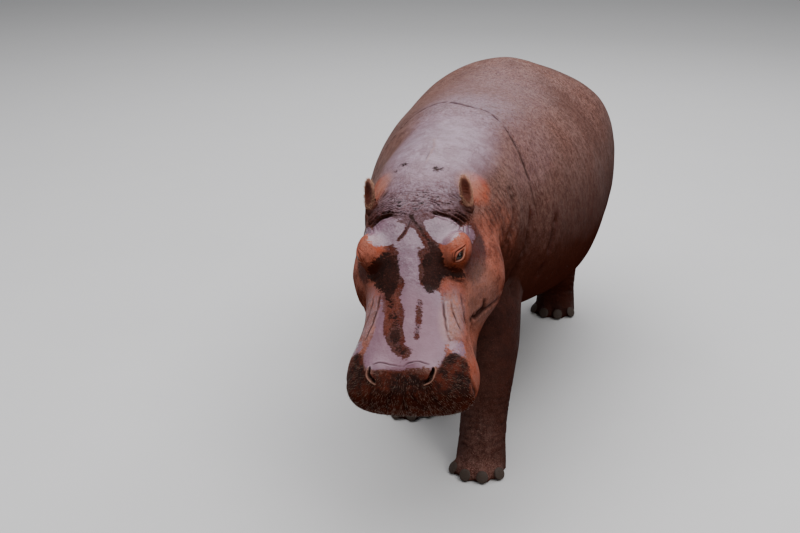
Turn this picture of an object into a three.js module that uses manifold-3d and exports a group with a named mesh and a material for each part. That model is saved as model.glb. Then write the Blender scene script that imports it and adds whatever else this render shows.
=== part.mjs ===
// A life-size hippopotamus in mid stride, with its head held low, as a museum model.
// Millimetres, +Z up. The animal faces -Y and its left side is at +X. Degrees for every angle.

import * as THREE from 'three';
import { LoftGeometry } from 'three/addons/geometries/LoftGeometry.js';
import { mergeVertices } from 'three/addons/utils/BufferGeometryUtils.js';
import Module from 'manifold-3d';

// ---------------------------------------------------------------- driving dimensions

const BACK_HEIGHT = 1390; // ground to the top of the back
const TRUNK_LENGTH = 1500; // chest to the last full section of the rump, which a dome closes
const TRUNK_WIDTH = 1050; // the barrel at its widest

const HEAD_DIP = 48; // the bridge of the nose below level
const HEAD_TURN = 0.5; // towards the animal's left
const HEAD_TWIST = 5; // the muzzle swung to the left across the plane of the face
const HEAD_ROLL = 4; // about the bridge of the nose, the brow leaning to the right
const EYES_AT = [17, -683, 1087]; // midway between the eyes, with the chest at y = 0
const EYES_APART = 320; // middles of the orbits
const EYE_RADIUS = 27;
const EARS_APART = 374;
const EAR_LENGTH = 138;
const TAIL_LENGTH = 430;

const ANKLE_HEIGHT = 150; // where a foot is parted from its leg
const TOE = { wide: 42, long: 62, tall: 60 }; // half sizes of one toe
const NAIL = { wide: 28, long: 15, tall: 26 };

const CUT = 0.6; // width of the thin cuts that part the body
const SEAT_GAP = 0.5; // round a piece that is let into another

const HIDE = new THREE.MeshStandardMaterial({ name: 'hide', color: 0x5e3a33, roughness: 0.42 });
const EYEBALL = new THREE.MeshStandardMaterial({ name: 'eyeball', color: 0x1c120d, roughness: 0.1 });
const HORN = new THREE.MeshStandardMaterial({ name: 'horn', color: 0x3a2c26, roughness: 0.55 });

// ---------------------------------------------------------------- small tools

const radians = THREE.MathUtils.degToRad;
const SIDES = { left: 1, right: -1 };
const UP = new THREE.Vector3(0, 0, 1);

const wasm = await Module();
wasm.setup();

// A closed geometry as a solid that can be joined and cut.
function solid(geometry) {
  const bare = new THREE.BufferGeometry().copy(geometry);
  for (const name of ['normal', 'uv']) bare.deleteAttribute(name);
  const merged = mergeVertices(bare, 1e-3);
  return new wasm.Manifold(new wasm.Mesh({
    numProp: 3,
    vertProperties: merged.attributes.position.array,
    triVerts: new Uint32Array(merged.index.array),
  }));
}

// A solid as a geometry again.
function geometryOf(body) {
  const mesh = body.getMesh();
  const geometry = new THREE.BufferGeometry();
  geometry.setAttribute('position', new THREE.BufferAttribute(mesh.vertProperties, mesh.numProp));
  geometry.setIndex(new THREE.BufferAttribute(mesh.triVerts, 1));
  geometry.computeVertexNormals();
  return geometry;
}

const joined = (...solids) => solids.reduce((all, next) => all.add(next));

// An egg of the given half sizes, turned and then moved into place.
function egg(halves, place, [around, down] = [12, 8]) {
  const ball = new THREE.SphereGeometry(1, around, down);
  ball.rotateX(Math.PI / 2);
  ball.scale(...halves);
  return solid(ball.applyMatrix4(place));
}

// A place at a point, turned in degrees about its own Z, then Y, then X.
function place(point, turns = [0, 0, 0]) {
  const euler = new THREE.Euler(...turns.map(radians), 'XYZ');
  return new THREE.Matrix4().makeRotationFromEuler(euler).setPosition(...point);
}

// Everything beyond a plane, whose normal points that way, less half a cut.
function beyond(point, normal) {
  const size = 6000;
  const half = new THREE.BoxGeometry(size, size, size);
  half.translate(0, 0, (size + CUT) / 2);
  half.applyQuaternion(new THREE.Quaternion().setFromUnitVectors(UP, normal));
  half.translate(point.x, point.y, point.z);
  return solid(half);
}

// Both sides of a plane cut: the part that the normal points to, and the rest.
function parted(body, point, normal) {
  const ahead = body.intersect(beyond(point, normal));
  const behind = body.intersect(beyond(point, normal.clone().negate()));
  return [ahead, behind];
}

// A smooth curve through [at, value] pairs that never overshoots them.
function smoothCurve(pairs) {
  const slopes = pairs.slice(1).map(([at, value], i) => (value - pairs[i][1]) / (at - pairs[i][0]));
  const tangents = pairs.map((_, i) => {
    const before = slopes[Math.max(i - 1, 0)];
    const after = slopes[Math.min(i, slopes.length - 1)];
    return before * after > 0 ? 2 * before * after / (before + after) : 0;
  });
  return (at) => {
    const next = pairs.findIndex(([stop]) => stop > at);
    const i = next < 0 ? pairs.length - 2 : Math.max(0, next - 1);
    const [[from, low], [to, high]] = [pairs[i], pairs[i + 1]];
    const span = to - from;
    const t = THREE.MathUtils.clamp((at - from) / span, 0, 1);
    const leaving = (1 - t) * (tangents[i] - slopes[i]);
    const arriving = t * (tangents[i + 1] - slopes[i]);
    return low + (high - low) * t + span * t * (1 - t) * (leaving - arriving);
  };
}

// Evenly spaced sections through the given ones, each value on its own smooth curve.
function sectionsBetween(stations, count) {
  const keys = Object.keys(stations[0]);
  const curves = keys.map((key) => smoothCurve(stations.map((station) => [station.at, station[key]])));
  const [first, last] = [stations[0].at, stations.at(-1).at];
  return Array.from({ length: count }, (_, i) => {
    const at = first + (last - first) * i / (count - 1);
    return Object.fromEntries(keys.map((key, k) => [key, curves[k](at)]));
  });
}

// The shrinking sections that round off an end: `way` is 1 past the last section, -1 before the first.
function dome(section, { length, square = 2, steps }, way, grow) {
  return Array.from({ length: steps }, (_, i) => {
    const angle = radians(84) * (i + 1) / steps;
    const offset = way * (length + grow) * Math.sin(angle) ** (2 / square);
    return { ...section, offset, shrink: Math.cos(angle) ** (2 / square) };
  });
}

// The ring of points of one section, which stands across the form's own axis, tipped by `dip`.
// `half` is its half width, and `above` and `below` its reach from its widest level.
// `crown` and `keel` say how square the two halves are: 2 is an ellipse.
function ring(section, segments, grow) {
  const { x = 0, along, level, half, above, below, crown = 2, keel = 2 } = section;
  const { dip = 0, offset = 0, shrink = 1 } = section;
  const tip = new THREE.Matrix4().makeRotationX(radians(dip)).setPosition(x, along, level);
  return Array.from({ length: segments }, (_, j) => {
    const angle = -2 * Math.PI * j / segments;
    const [c, s] = [Math.cos(angle), Math.sin(angle)];
    const power = 2 / (s > 0 ? crown : keel);
    const across = Math.sign(c) * Math.abs(c) ** power * (half * shrink + grow);
    const up = Math.sign(s) * Math.abs(s) ** power * ((s > 0 ? above : below) * shrink + grow);
    return new THREE.Vector3(across, offset, up).applyMatrix4(tip);
  });
}

// Soft bumps: each pushes the points near it, and fades over its reach.
function swell(point, swellings) {
  const start = point.clone();
  for (const { at, reach, push } of swellings) {
    const away = new THREE.Vector3(...at).sub(start).divide(new THREE.Vector3(...reach));
    point.addScaledVector(new THREE.Vector3(...push), Math.exp(-away.lengthSq()));
  }
}

const bothSides = (swellings) => swellings.flatMap(({ at, reach, push }) => [
  { at, reach, push },
  { at: [-at[0], at[1], at[2]], reach, push: [-push[0], push[1], push[2]] },
]);

// A closed form along Y through its stations, with a dome on either end where one is given.
// `grow` makes all of it fatter, for the hollow that another form leaves in this one.
function form({ stations, rings, segments, front, back, swellings = [] }, grow = 0) {
  const sections = sectionsBetween(stations, rings);
  const before = front ? dome(sections[0], front, -1, grow).reverse() : [];
  const after = back ? dome(sections.at(-1), back, 1, grow) : [];
  const loops = [...before, ...sections, ...after].map((section) => ring(section, segments, grow));
  for (const point of loops.flat()) swell(point, swellings);
  return new LoftGeometry(loops, { capStart: true, capEnd: true });
}

// Rows of numbers under one list of names.
const table = (names, rows) => rows.map(
  (row) => Object.fromEntries(names.map((name, i) => [name, row[i]])),
);

// Stations along Y whose rows give the heights of their top, widest level and underside.
const heightTable = (rows) => table(['at', 'top', 'widest', 'under', 'half', 'crown', 'keel'], rows)
  .map(({ at, top, widest, under, ...rest }) => ({
    at, along: at, level: widest, above: top - widest, below: widest - under, ...rest,
  }));

// ---------------------------------------------------------------- trunk, neck and tail

// Shares of the trunk's length, of the back's height and of half the trunk's width.
const TRUNK_SHARES = [
  [0.00, 0.960, 0.640, 0.380, 0.62, 2.0, 2.1],
  [0.14, 0.992, 0.620, 0.330, 0.77, 2.05, 2.2],
  [0.32, 0.980, 0.590, 0.280, 0.91, 2.1, 2.3],
  [0.52, 0.970, 0.580, 0.245, 1.00, 2.05, 2.3],
  [0.72, 0.988, 0.590, 0.250, 1.00, 2.0, 2.3],
  [0.86, 0.960, 0.600, 0.290, 0.96, 2.1, 2.2],
  [1.00, 0.890, 0.600, 0.370, 0.83, 2.2, 2.1],
];

const TRUNK = {
  stations: heightTable(TRUNK_SHARES.map(([at, top, widest, under, half, crown, keel]) => [
    at * TRUNK_LENGTH,
    top * BACK_HEIGHT,
    widest * BACK_HEIGHT,
    under * BACK_HEIGHT,
    half * TRUNK_WIDTH / 2,
    crown,
    keel,
  ])),
  rings: 12,
  segments: 32,
  front: { length: 150, steps: 1 },
  back: { length: 290, square: 2.1, steps: 4 },
  swellings: [
    ...bothSides([
      { at: [330, 120, 880], reach: [190, 190, 300], push: [34, 0, 0] }, // shoulder
      { at: [330, 1400, 850], reach: [190, 230, 300], push: [36, 20, 0] }, // haunch
    ]),
    { at: [0, 1120, 1380], reach: [80, 280, 120], push: [0, 0, 24] }, // ridge over the hips
    { at: [390, 1280, 1130], reach: [180, 240, 190], push: [26, 0, 26] }, // the hip that bears the weight
  ],
};

const NECK = {
  stations: table(['at', 'x', 'along', 'level', 'half', 'above', 'below', 'dip'], [
    [0.0, 22, -470, 1070, 220, 165, 240, 36],
    [0.3, 15, -370, 1040, 260, 255, 310, 28],
    [0.6, 8, -200, 990, 308, 352, 345, 15],
    [1.0, 0, 110, 930, 345, 424, 370, 0],
  ]),
  rings: 7,
  segments: 26,
  front: { length: 70, steps: 2 },
  back: { length: 40, steps: 1 },
};

// The tail hangs, so it is drawn along Y and then turned to point down.
const TAIL = {
  stations: table(['at', 'along', 'level', 'half', 'above', 'below'], [
    [0.0, 0, 0, 64, 70, 60],
    [0.3, TAIL_LENGTH * 0.3, -8, 48, 42, 36],
    [0.7, TAIL_LENGTH * 0.7, -34, 36, 22, 20],
    [1.0, TAIL_LENGTH, -60, 28, 12, 12],
  ]),
  rings: 6,
  segments: 10,
  back: { length: 26, steps: 1 },
};
const TAIL_ROOT = { at: [0, 1700, 1140], droop: 62 };

// ---------------------------------------------------------------- head

// In the head's own frame: midway between the eyes, -Y down the snout, +Z out of the brow.
const headFrame = new THREE.Matrix4()
  .makeRotationZ(radians(HEAD_TURN))
  .multiply(new THREE.Matrix4().makeRotationX(radians(HEAD_DIP)))
  .multiply(new THREE.Matrix4().makeRotationZ(radians(HEAD_TWIST)))
  .multiply(new THREE.Matrix4().makeRotationY(radians(-HEAD_ROLL)))
  .setPosition(...EYES_AT);
const inHead = (...steps) => steps.reduce((all, step) => all.multiply(step), headFrame.clone());

// Skull and upper lip, down to the line of the mouth.
const SKULL = {
  stations: heightTable([
    [-512, -6, -130, -262, 227, 3.0, 3.2],
    [-440, 4, -140, -284, 230, 3.0, 3.0],
    [-350, -8, -150, -282, 209, 2.8, 2.8],
    [-255, -20, -155, -262, 190, 2.6, 2.6],
    [-160, -20, -175, -280, 199, 2.6, 2.4],
    [-60, -4, -190, -310, 226, 2.5, 2.2],
    [30, 8, -200, -330, 240, 2.5, 2.2],
    [120, 14, -190, -320, 230, 2.6, 2.2],
    [190, 0, -160, -300, 200, 2.4, 2.2],
  ]),
  rings: 15,
  segments: 28,
  front: { length: 72, square: 2.9, steps: 3 },
  back: { length: 60, steps: 1 },
  swellings: [
    ...bothSides([
      { at: [100, -474, 10], reach: [46, 54, 60], push: [0, -4, 26] }, // nostril
      { at: [190, -440, -190], reach: [80, 90, 100], push: [16, 0, -14] }, // lip over the tusk
    ]),
    { at: [0, -250, 0], reach: [60, 200, 60], push: [0, 0, 14] }, // bridge of the nose
  ],
};

const JAW = {
  stations: heightTable([
    [-470, -200, -290, -375, 184, 3.0, 3.0],
    [-380, -200, -295, -396, 198, 3.0, 2.8],
    [-280, -170, -280, -396, 190, 2.8, 2.6],
    [-200, -120, -268, -406, 212, 2.4, 2.4],
    [-120, -70, -262, -438, 264, 2.2, 2.3],
    [-42, -40, -256, -460, 292, 2.1, 2.2],
    [60, -40, -244, -444, 283, 2.0, 2.2],
    [180, -60, -225, -375, 225, 2.0, 2.2],
  ]),
  rings: 10,
  segments: 24,
  front: { length: 62, square: 2.7, steps: 2 },
  back: { length: 60, steps: 1 },
};

// The lower edge of the cheek, back from the corner of the mouth. The lips meet in front of it.
const CHEEK_EDGE = [
  [-700, -100],
  [-210, -100],
  [-205, -215],
  [-130, -262],
  [40, -372],
  [240, -420],
];

const ORBIT = { at: [EYES_APART / 2, -14, -27], halves: [56, 76, 58], turns: [0, 12, -8] };
const EYE_OUT = [20, -16, 28]; // the eyeball from the middle of its orbit
const EYE_FACES = [10, 7];
const NOSTRIL = { at: [101, -500, 22], halves: [13, 34, 30], turns: [0, 0, -30] };

// An ear stands on the corner of the skull: a stalk that widens to a leaf, with a scoop out of
// its front. It is drawn along Y and then turned upright.
const EAR = {
  at: [EARS_APART / 2, 156, -64],
  turns: [-42, -4, 22],
  leaf: {
    stations: table(['at', 'along', 'level', 'half', 'above', 'below'], [
      [0.00, 0, 0, 22, 22, 20],
      [0.35, EAR_LENGTH * 0.35, 0, 24, 19, 17],
      [0.65, EAR_LENGTH * 0.65, -2, 27, 14, 14],
      [1.00, EAR_LENGTH, -2, 12, 6, 6],
    ]),
    rings: 5,
    segments: 10,
    back: { length: 10, steps: 1 },
  },
  scoop: { at: [0, -22, EAR_LENGTH * 0.68], halves: [19, 22, EAR_LENGTH * 0.34] },
};

function ear(out) {
  const [x, y, z] = EAR.at;
  const [tip, lean, twist] = EAR.turns;
  const root = inHead(place([out * x, y, z], [tip, out * lean, out * twist]));
  const leaf = form(EAR.leaf).rotateX(Math.PI / 2).applyMatrix4(root);
  const scoop = egg(EAR.scoop.halves, root.clone().multiply(place(EAR.scoop.at)), [10, 6]);
  return solid(leaf).subtract(scoop);
}

// Everything below the edge of the cheek and the lips, and `gap` above it.
function underCheek(gap) {
  const width = 1200;
  const depth = -900;
  const line = CHEEK_EDGE.map(([y, z]) => new THREE.Vector2(y, z + gap));
  const corners = [line.at(-1), line[0]].map(({ x }) => new THREE.Vector2(x, depth));
  const shape = new THREE.Shape([...line, ...corners]);
  const slab = new THREE.ExtrudeGeometry(shape, { depth: width, bevelEnabled: false });
  slab.translate(0, 0, -width / 2);
  slab.applyMatrix4(new THREE.Matrix4().makeBasis(
    new THREE.Vector3(0, 1, 0),
    new THREE.Vector3(0, 0, 1),
    new THREE.Vector3(1, 0, 0),
  ));
  return solid(slab.applyMatrix4(headFrame));
}

// ---------------------------------------------------------------- legs and feet

// Each is drawn along Y, from the sole up, and then turned upright: `forward` of the hip or
// shoulder, `out` from the middle of the body. `stride` carries a foot forward.
const LEGS = {
  front: {
    hip: [208, 60],
    stride: { left: 340, right: -110 },
    rows: [
      [0, 1.00, -4, 108, 116, 108, 0],
      [90, 0.96, -4, 99, 104, 100, 0],
      [180, 0.88, -4, 96, 98, 100, 4],
      [300, 0.76, -4, 106, 114, 120, 10],
      [430, 0.62, -4, 116, 138, 148, 6],
      [580, 0.40, -4, 120, 160, 176, 0],
      [740, 0.12, -30, 100, 155, 165, 0],
    ],
  },
  hind: {
    hip: [236, 1310],
    stride: { left: -110, right: 130 },
    rows: [
      [0, 1.00, -4, 104, 112, 106, -30],
      [90, 0.96, -4, 95, 100, 98, -34],
      [190, 0.86, -2, 93, 96, 102, -46],
      [310, 0.68, 4, 112, 126, 128, -38],
      [450, 0.42, 12, 138, 174, 172, -6],
      [620, 0.18, 0, 150, 212, 214, 10],
      [780, 0.00, -30, 120, 180, 180, 0],
    ],
  },
};

function leg(pair, side) {
  const { hip, stride, rows } = LEGS[pair];
  const [x, y] = hip;
  const stations = rows.map(([at, share, splay, half, above, below, forward]) => ({
    at,
    along: at,
    x: SIDES[side] * (x + splay),
    level: -y + stride[side] * share + forward,
    half,
    above,
    below,
  }));
  const upright = form({ stations, rings: 7, segments: 14, back: { length: 40, steps: 1 } });
  return solid(upright.rotateX(Math.PI / 2));
}

// Where the sole of a leg is: its middle, on the ground.
function sole(pair, side) {
  const { hip, stride, rows } = LEGS[pair];
  const [, , splay, , , , forward] = rows[0];
  return [SIDES[side] * (hip[0] + splay), hip[1] - stride[side] - forward];
}

// The four toes of a foot, from the inner to the outer: across the foot, forward of its
// middle, and how far each points outward.
const TOES = [
  [-68, 52, -38],
  [-28, 92, -10],
  [28, 92, 10],
  [68, 52, 38],
];

function toePlaces(pair, side) {
  const [x, y] = sole(pair, side);
  return TOES.map(([across, forward, turn]) => place([x + across, y - forward, 0], [0, 0, turn]));
}

// ---------------------------------------------------------------- assembly

const animal = new THREE.Group();
function addNode(name, body, material) {
  const mesh = new THREE.Mesh(geometryOf(body), material);
  mesh.name = name;
  animal.add(mesh);
}

const ground = beyond(new THREE.Vector3(0, 0, -CUT / 2), UP);

function addFoot(pair, side, grown) {
  const whole = leg(pair, side).subtract(grown);
  const [upper, lower] = parted(whole, new THREE.Vector3(0, 0, ANKLE_HEIGHT), UP);
  let foot = lower;
  toePlaces(pair, side).forEach((toe, i) => {
    const { long, wide, tall } = TOE;
    foot = foot.add(egg([wide, long, tall], toe, [8, 5]).intersect(ground));
    const tip = toe.clone().multiply(place([0, 8 - long, 28], [-20, 0, 0]));
    const seat = egg([NAIL.wide + SEAT_GAP, NAIL.long + SEAT_GAP, NAIL.tall + SEAT_GAP], tip, [8, 4]);
    foot = foot.subtract(seat);
    addNode(`nail_${pair}_${side}_${i + 1}`, egg([NAIL.wide, NAIL.long, NAIL.tall], tip, [8, 4]), HORN);
  });
  addNode(`leg_${pair}_${side}`, upper, HIDE);
  addNode(`foot_${pair}_${side}`, foot, HIDE);
}

const neckCut = {
  at: new THREE.Vector3(0, 150, 1400),
  normal: new THREE.Vector3(0, -0.87, 0.5).normalize(),
};
const headCut = {
  at: new THREE.Vector3(0, -575, 1230),
  normal: new THREE.Vector3(0, -0.88, -0.47).normalize(),
};

const headSolid = (outline, grow) => solid(form(outline, grow).applyMatrix4(headFrame));
const skull = headSolid(SKULL, 0);
const mandible = headSolid(JAW, 0);
const grownSkull = headSolid(SKULL, CUT);
const grownNeck = solid(form(NECK, CUT));
const grownTrunk = solid(form(TRUNK, CUT)).add(grownNeck);

const torso = joined(skull, mandible, solid(form(NECK)), solid(form(TRUNK)));
const [face, body] = parted(torso, headCut.at, headCut.normal);
const [neck, trunk] = parted(body, neckCut.at, neckCut.normal);
const lowerJaw = face.intersect(mandible).subtract(grownSkull).intersect(underCheek(0));
let head = face.subtract(headSolid(JAW, CUT).subtract(skull).intersect(underCheek(CUT)));

for (const [side, out] of Object.entries(SIDES)) {
  const [x, y, z] = ORBIT.at;
  const [tip, lean, turn] = ORBIT.turns;
  const orbit = inHead(place([out * x, y, z], [tip, out * lean, out * turn]));
  const [right, forward, up] = EYE_OUT;
  const socket = inHead(place([out * (x + right), y + forward, z + up]));
  const [across, down, high] = NOSTRIL.at;
  const slit = inHead(place([out * across, down, high], [0, 0, out * NOSTRIL.turns[2]]));
  head = head
    .add(egg(ORBIT.halves, orbit))
    .subtract(egg(Array(3).fill(EYE_RADIUS + SEAT_GAP), socket, EYE_FACES))
    .subtract(egg(NOSTRIL.halves, slit, [8, 6]));
  addNode(`eye_${side}`, egg(Array(3).fill(EYE_RADIUS), socket, EYE_FACES), EYEBALL);
  addNode(`ear_${side}`, ear(out).subtract(grownSkull).subtract(grownNeck), HIDE);
}

addNode('trunk', trunk, HIDE);
addNode('neck', neck, HIDE);
addNode('head', head, HIDE);
addNode('lower_jaw', lowerJaw, HIDE);

for (const pair of Object.keys(LEGS)) {
  for (const side of Object.keys(SIDES)) addFoot(pair, side, grownTrunk);
}

const hang = place(TAIL_ROOT.at, [-TAIL_ROOT.droop, 0, 0]);
addNode('tail', solid(form(TAIL).applyMatrix4(hang)).subtract(grownTrunk), HIDE);

const extent = new THREE.Box3().setFromObject(animal);
const middle = extent.getCenter(new THREE.Vector3());
animal.position.set(-middle.x, -middle.y, -extent.min.z);

export default animal;
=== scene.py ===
"""A life-size hippopotamus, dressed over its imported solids: one skin, eyes, nails and hair.

Metres, +Z up. The animal faces -Y and its left side is at +X.
"""

import math

import bmesh
import bpy
import numpy as np
from bpy.props import FloatProperty, FloatVectorProperty, IntProperty, PointerProperty
from bpy.types import Operator, Panel, PropertyGroup
from mathutils import Matrix, Vector
from mathutils.bvhtree import BVHTree


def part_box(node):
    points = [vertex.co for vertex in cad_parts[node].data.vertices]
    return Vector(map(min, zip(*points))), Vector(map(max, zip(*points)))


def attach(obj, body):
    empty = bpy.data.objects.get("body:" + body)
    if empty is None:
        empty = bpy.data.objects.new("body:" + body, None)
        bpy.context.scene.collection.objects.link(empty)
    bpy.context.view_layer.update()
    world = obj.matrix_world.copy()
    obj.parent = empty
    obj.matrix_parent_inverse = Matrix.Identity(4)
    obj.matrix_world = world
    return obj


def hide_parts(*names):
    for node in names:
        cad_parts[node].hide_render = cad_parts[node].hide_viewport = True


bl_info = {
    "name": "Museum hippopotamus",
    "version": (1, 0, 0),
    "blender": (4, 5, 0),
    "location": "View3D > Sidebar > Hippopotamus",
    "description": "Dresses the solids of a life-size hippopotamus with skin, eyes, nails and hair",
    "category": "Object",
}

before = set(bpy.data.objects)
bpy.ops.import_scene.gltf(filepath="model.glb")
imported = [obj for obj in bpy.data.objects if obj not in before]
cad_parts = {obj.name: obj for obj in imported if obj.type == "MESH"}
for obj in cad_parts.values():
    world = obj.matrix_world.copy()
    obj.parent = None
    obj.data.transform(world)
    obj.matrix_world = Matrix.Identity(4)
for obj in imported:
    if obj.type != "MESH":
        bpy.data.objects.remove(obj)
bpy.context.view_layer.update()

MM = 0.001
SIDES = {"left": 1, "right": -1}
LEGS = [f"{pair}_{side}" for pair in ("front", "hind") for side in SIDES]
FLESH = [
    "trunk", "neck", "head", "lower_jaw", "ear_left", "ear_right", "tail",
    *(f"leg_{leg}" for leg in LEGS),
    *(f"foot_{leg}" for leg in LEGS),
]

# ------------------------------------------------------------------ the head's own frame

# Midway between the eyes, -Y down the snout and +Z out of the brow, as the solids have it.
HEAD_AT = Vector((0.017, -1.09325, 1.087))
HEAD_AXES = (
    Matrix.Rotation(math.radians(0.5), 3, "Z")
    @ Matrix.Rotation(math.radians(48), 3, "X")
    @ Matrix.Rotation(math.radians(5), 3, "Z")
    @ Matrix.Rotation(math.radians(-4), 3, "Y")
)
AXES = np.array(HEAD_AXES)


def to_head(points):
    """Points of the whole animal in metres of the head's frame."""
    return (points - np.array(HEAD_AT)) @ AXES


def from_head(points):
    """Points of the head's frame in metres of the whole animal's."""
    return np.asarray(points, float) @ AXES.T + np.array(HEAD_AT)


def head_line(points):
    """A line given in millimetres of the head's frame, in metres of the whole animal's."""
    return from_head(np.array(points, float) * MM)


# ------------------------------------------------------------------ small tools on arrays


def unit(vectors):
    """The vectors at length 1."""
    length = np.linalg.norm(vectors, axis=-1, keepdims=True)
    return vectors / np.maximum(length, 1e-12)


def rise(value, low, high):
    """0 below low, 1 above high, smooth between."""
    t = np.clip((value - low) / (high - low), 0, 1)
    return t * t * (3 - 2 * t)


def bump(distance, width):
    """1 at no distance, falling off smoothly over the width."""
    return np.exp(-((distance / width) ** 2))


def cloud(points, size, seed):
    """Smooth noise from -1 to 1 whose lumps are about `size` across."""
    lattice = np.random.default_rng(seed).uniform(-1, 1, (32, 32, 32))
    place = points / size
    cell = np.floor(place).astype(int)
    part = place - cell
    part = part * part * (3 - 2 * part)
    total = np.zeros(len(points))
    for corner in np.ndindex(2, 2, 2):
        share = np.prod(np.where(corner, part, 1 - part), axis=1)
        total += share * lattice[tuple((cell + corner).T % 32)]
    return total


def smooth_line(points, step):
    """The points joined by a smooth curve, with a point about every `step`."""
    points = np.asarray(points, float)
    ends = np.vstack([2 * points[0] - points[1], points, 2 * points[-1] - points[-2]])
    made = []
    for a, b, c, d in zip(ends, ends[1:], ends[2:], ends[3:]):
        for t in np.arange(0, 1, min(1, step / max(np.linalg.norm(c - b), step))):
            made.append(0.5 * (
                2 * b + (c - a) * t + (2 * a - 5 * b + 4 * c - d) * t ** 2
                + (3 * b - a - 3 * c + d) * t ** 3
            ))
    return np.array([*made, points[-1]])


def to_line(points, line):
    """For each point: how far the line is, the way from it, and how far along it, 0 to 1."""
    best = np.full(len(points), np.inf)
    way = np.zeros((len(points), 3))
    along = np.zeros(len(points))
    for i, (start, end) in enumerate(zip(line, line[1:])):
        span = end - start
        t = np.clip((points - start) @ span / max(span @ span, 1e-12), 0, 1)
        apart = points - start - t[:, None] * span
        distance = np.linalg.norm(apart, axis=1)
        nearer = distance < best
        best[nearer] = distance[nearer]
        way[nearer] = apart[nearer]
        along[nearer] = (i + t[nearer]) / (len(line) - 1)
    return best, way, along


# ------------------------------------------------------------------ the skin


def flesh_shape(name, swell):
    """One solid of flesh as points and triangles, fattened so that it meets its neighbours."""
    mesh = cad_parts[name].data
    points = np.zeros(len(mesh.vertices) * 3)
    mesh.vertices.foreach_get("co", points)
    mesh.calc_loop_triangles()
    corners = np.zeros(len(mesh.loop_triangles) * 3, int)
    mesh.loop_triangles.foreach_get("vertices", corners)
    _, first, shared = np.unique(
        points.reshape(-1, 3).round(5), axis=0, return_index=True, return_inverse=True
    )
    points = points.reshape(-1, 3)[first]
    triangles = shared.reshape(-1)[corners].reshape(-1, 3)
    a, b, c = (points[triangles[:, k]] for k in range(3))
    outward = np.zeros_like(points)
    for k in range(3):
        np.add.at(outward, triangles[:, k], np.cross(b - a, c - a))
    return points + unit(outward) * swell, triangles


def ball(centre, radius, around=24):
    """A sphere as points and triangles, for filling a hollow."""
    mesh = bmesh.new()
    bmesh.ops.create_uvsphere(mesh, u_segments=around, v_segments=around // 2, radius=radius)
    bmesh.ops.triangulate(mesh, faces=mesh.faces)
    points = np.array([v.co for v in mesh.verts]) + centre
    triangles = np.array([[v.index for v in face.verts] for face in mesh.faces])
    mesh.free()
    return points, triangles


def mesh_from(name, points, faces):
    """A mesh of the points and faces."""
    mesh = bpy.data.meshes.new(name)
    mesh.from_pydata([tuple(p) for p in points], [], [tuple(map(int, f)) for f in faces])
    mesh.update()
    return mesh


def link(name, mesh):
    """A new object in the scene."""
    piece = bpy.data.objects.new(name, mesh)
    bpy.context.scene.collection.objects.link(piece)
    return piece


def wrapped(shapes, voxel):
    """One closed mesh of squares round all of the shapes."""
    points, faces, count = [], [], 0
    for some_points, some_faces in shapes:
        points.append(some_points)
        faces.append(some_faces + count)
        count += len(some_points)
    rough = link("rough", mesh_from("rough", np.vstack(points), np.vstack(faces)))
    wrap = rough.modifiers.new("wrap", "REMESH")
    wrap.mode = "VOXEL"
    wrap.voxel_size = voxel
    ready = rough.evaluated_get(bpy.context.evaluated_depsgraph_get())
    mesh = bpy.data.meshes.new_from_object(ready)
    bpy.data.objects.remove(rough)
    return mesh


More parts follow.
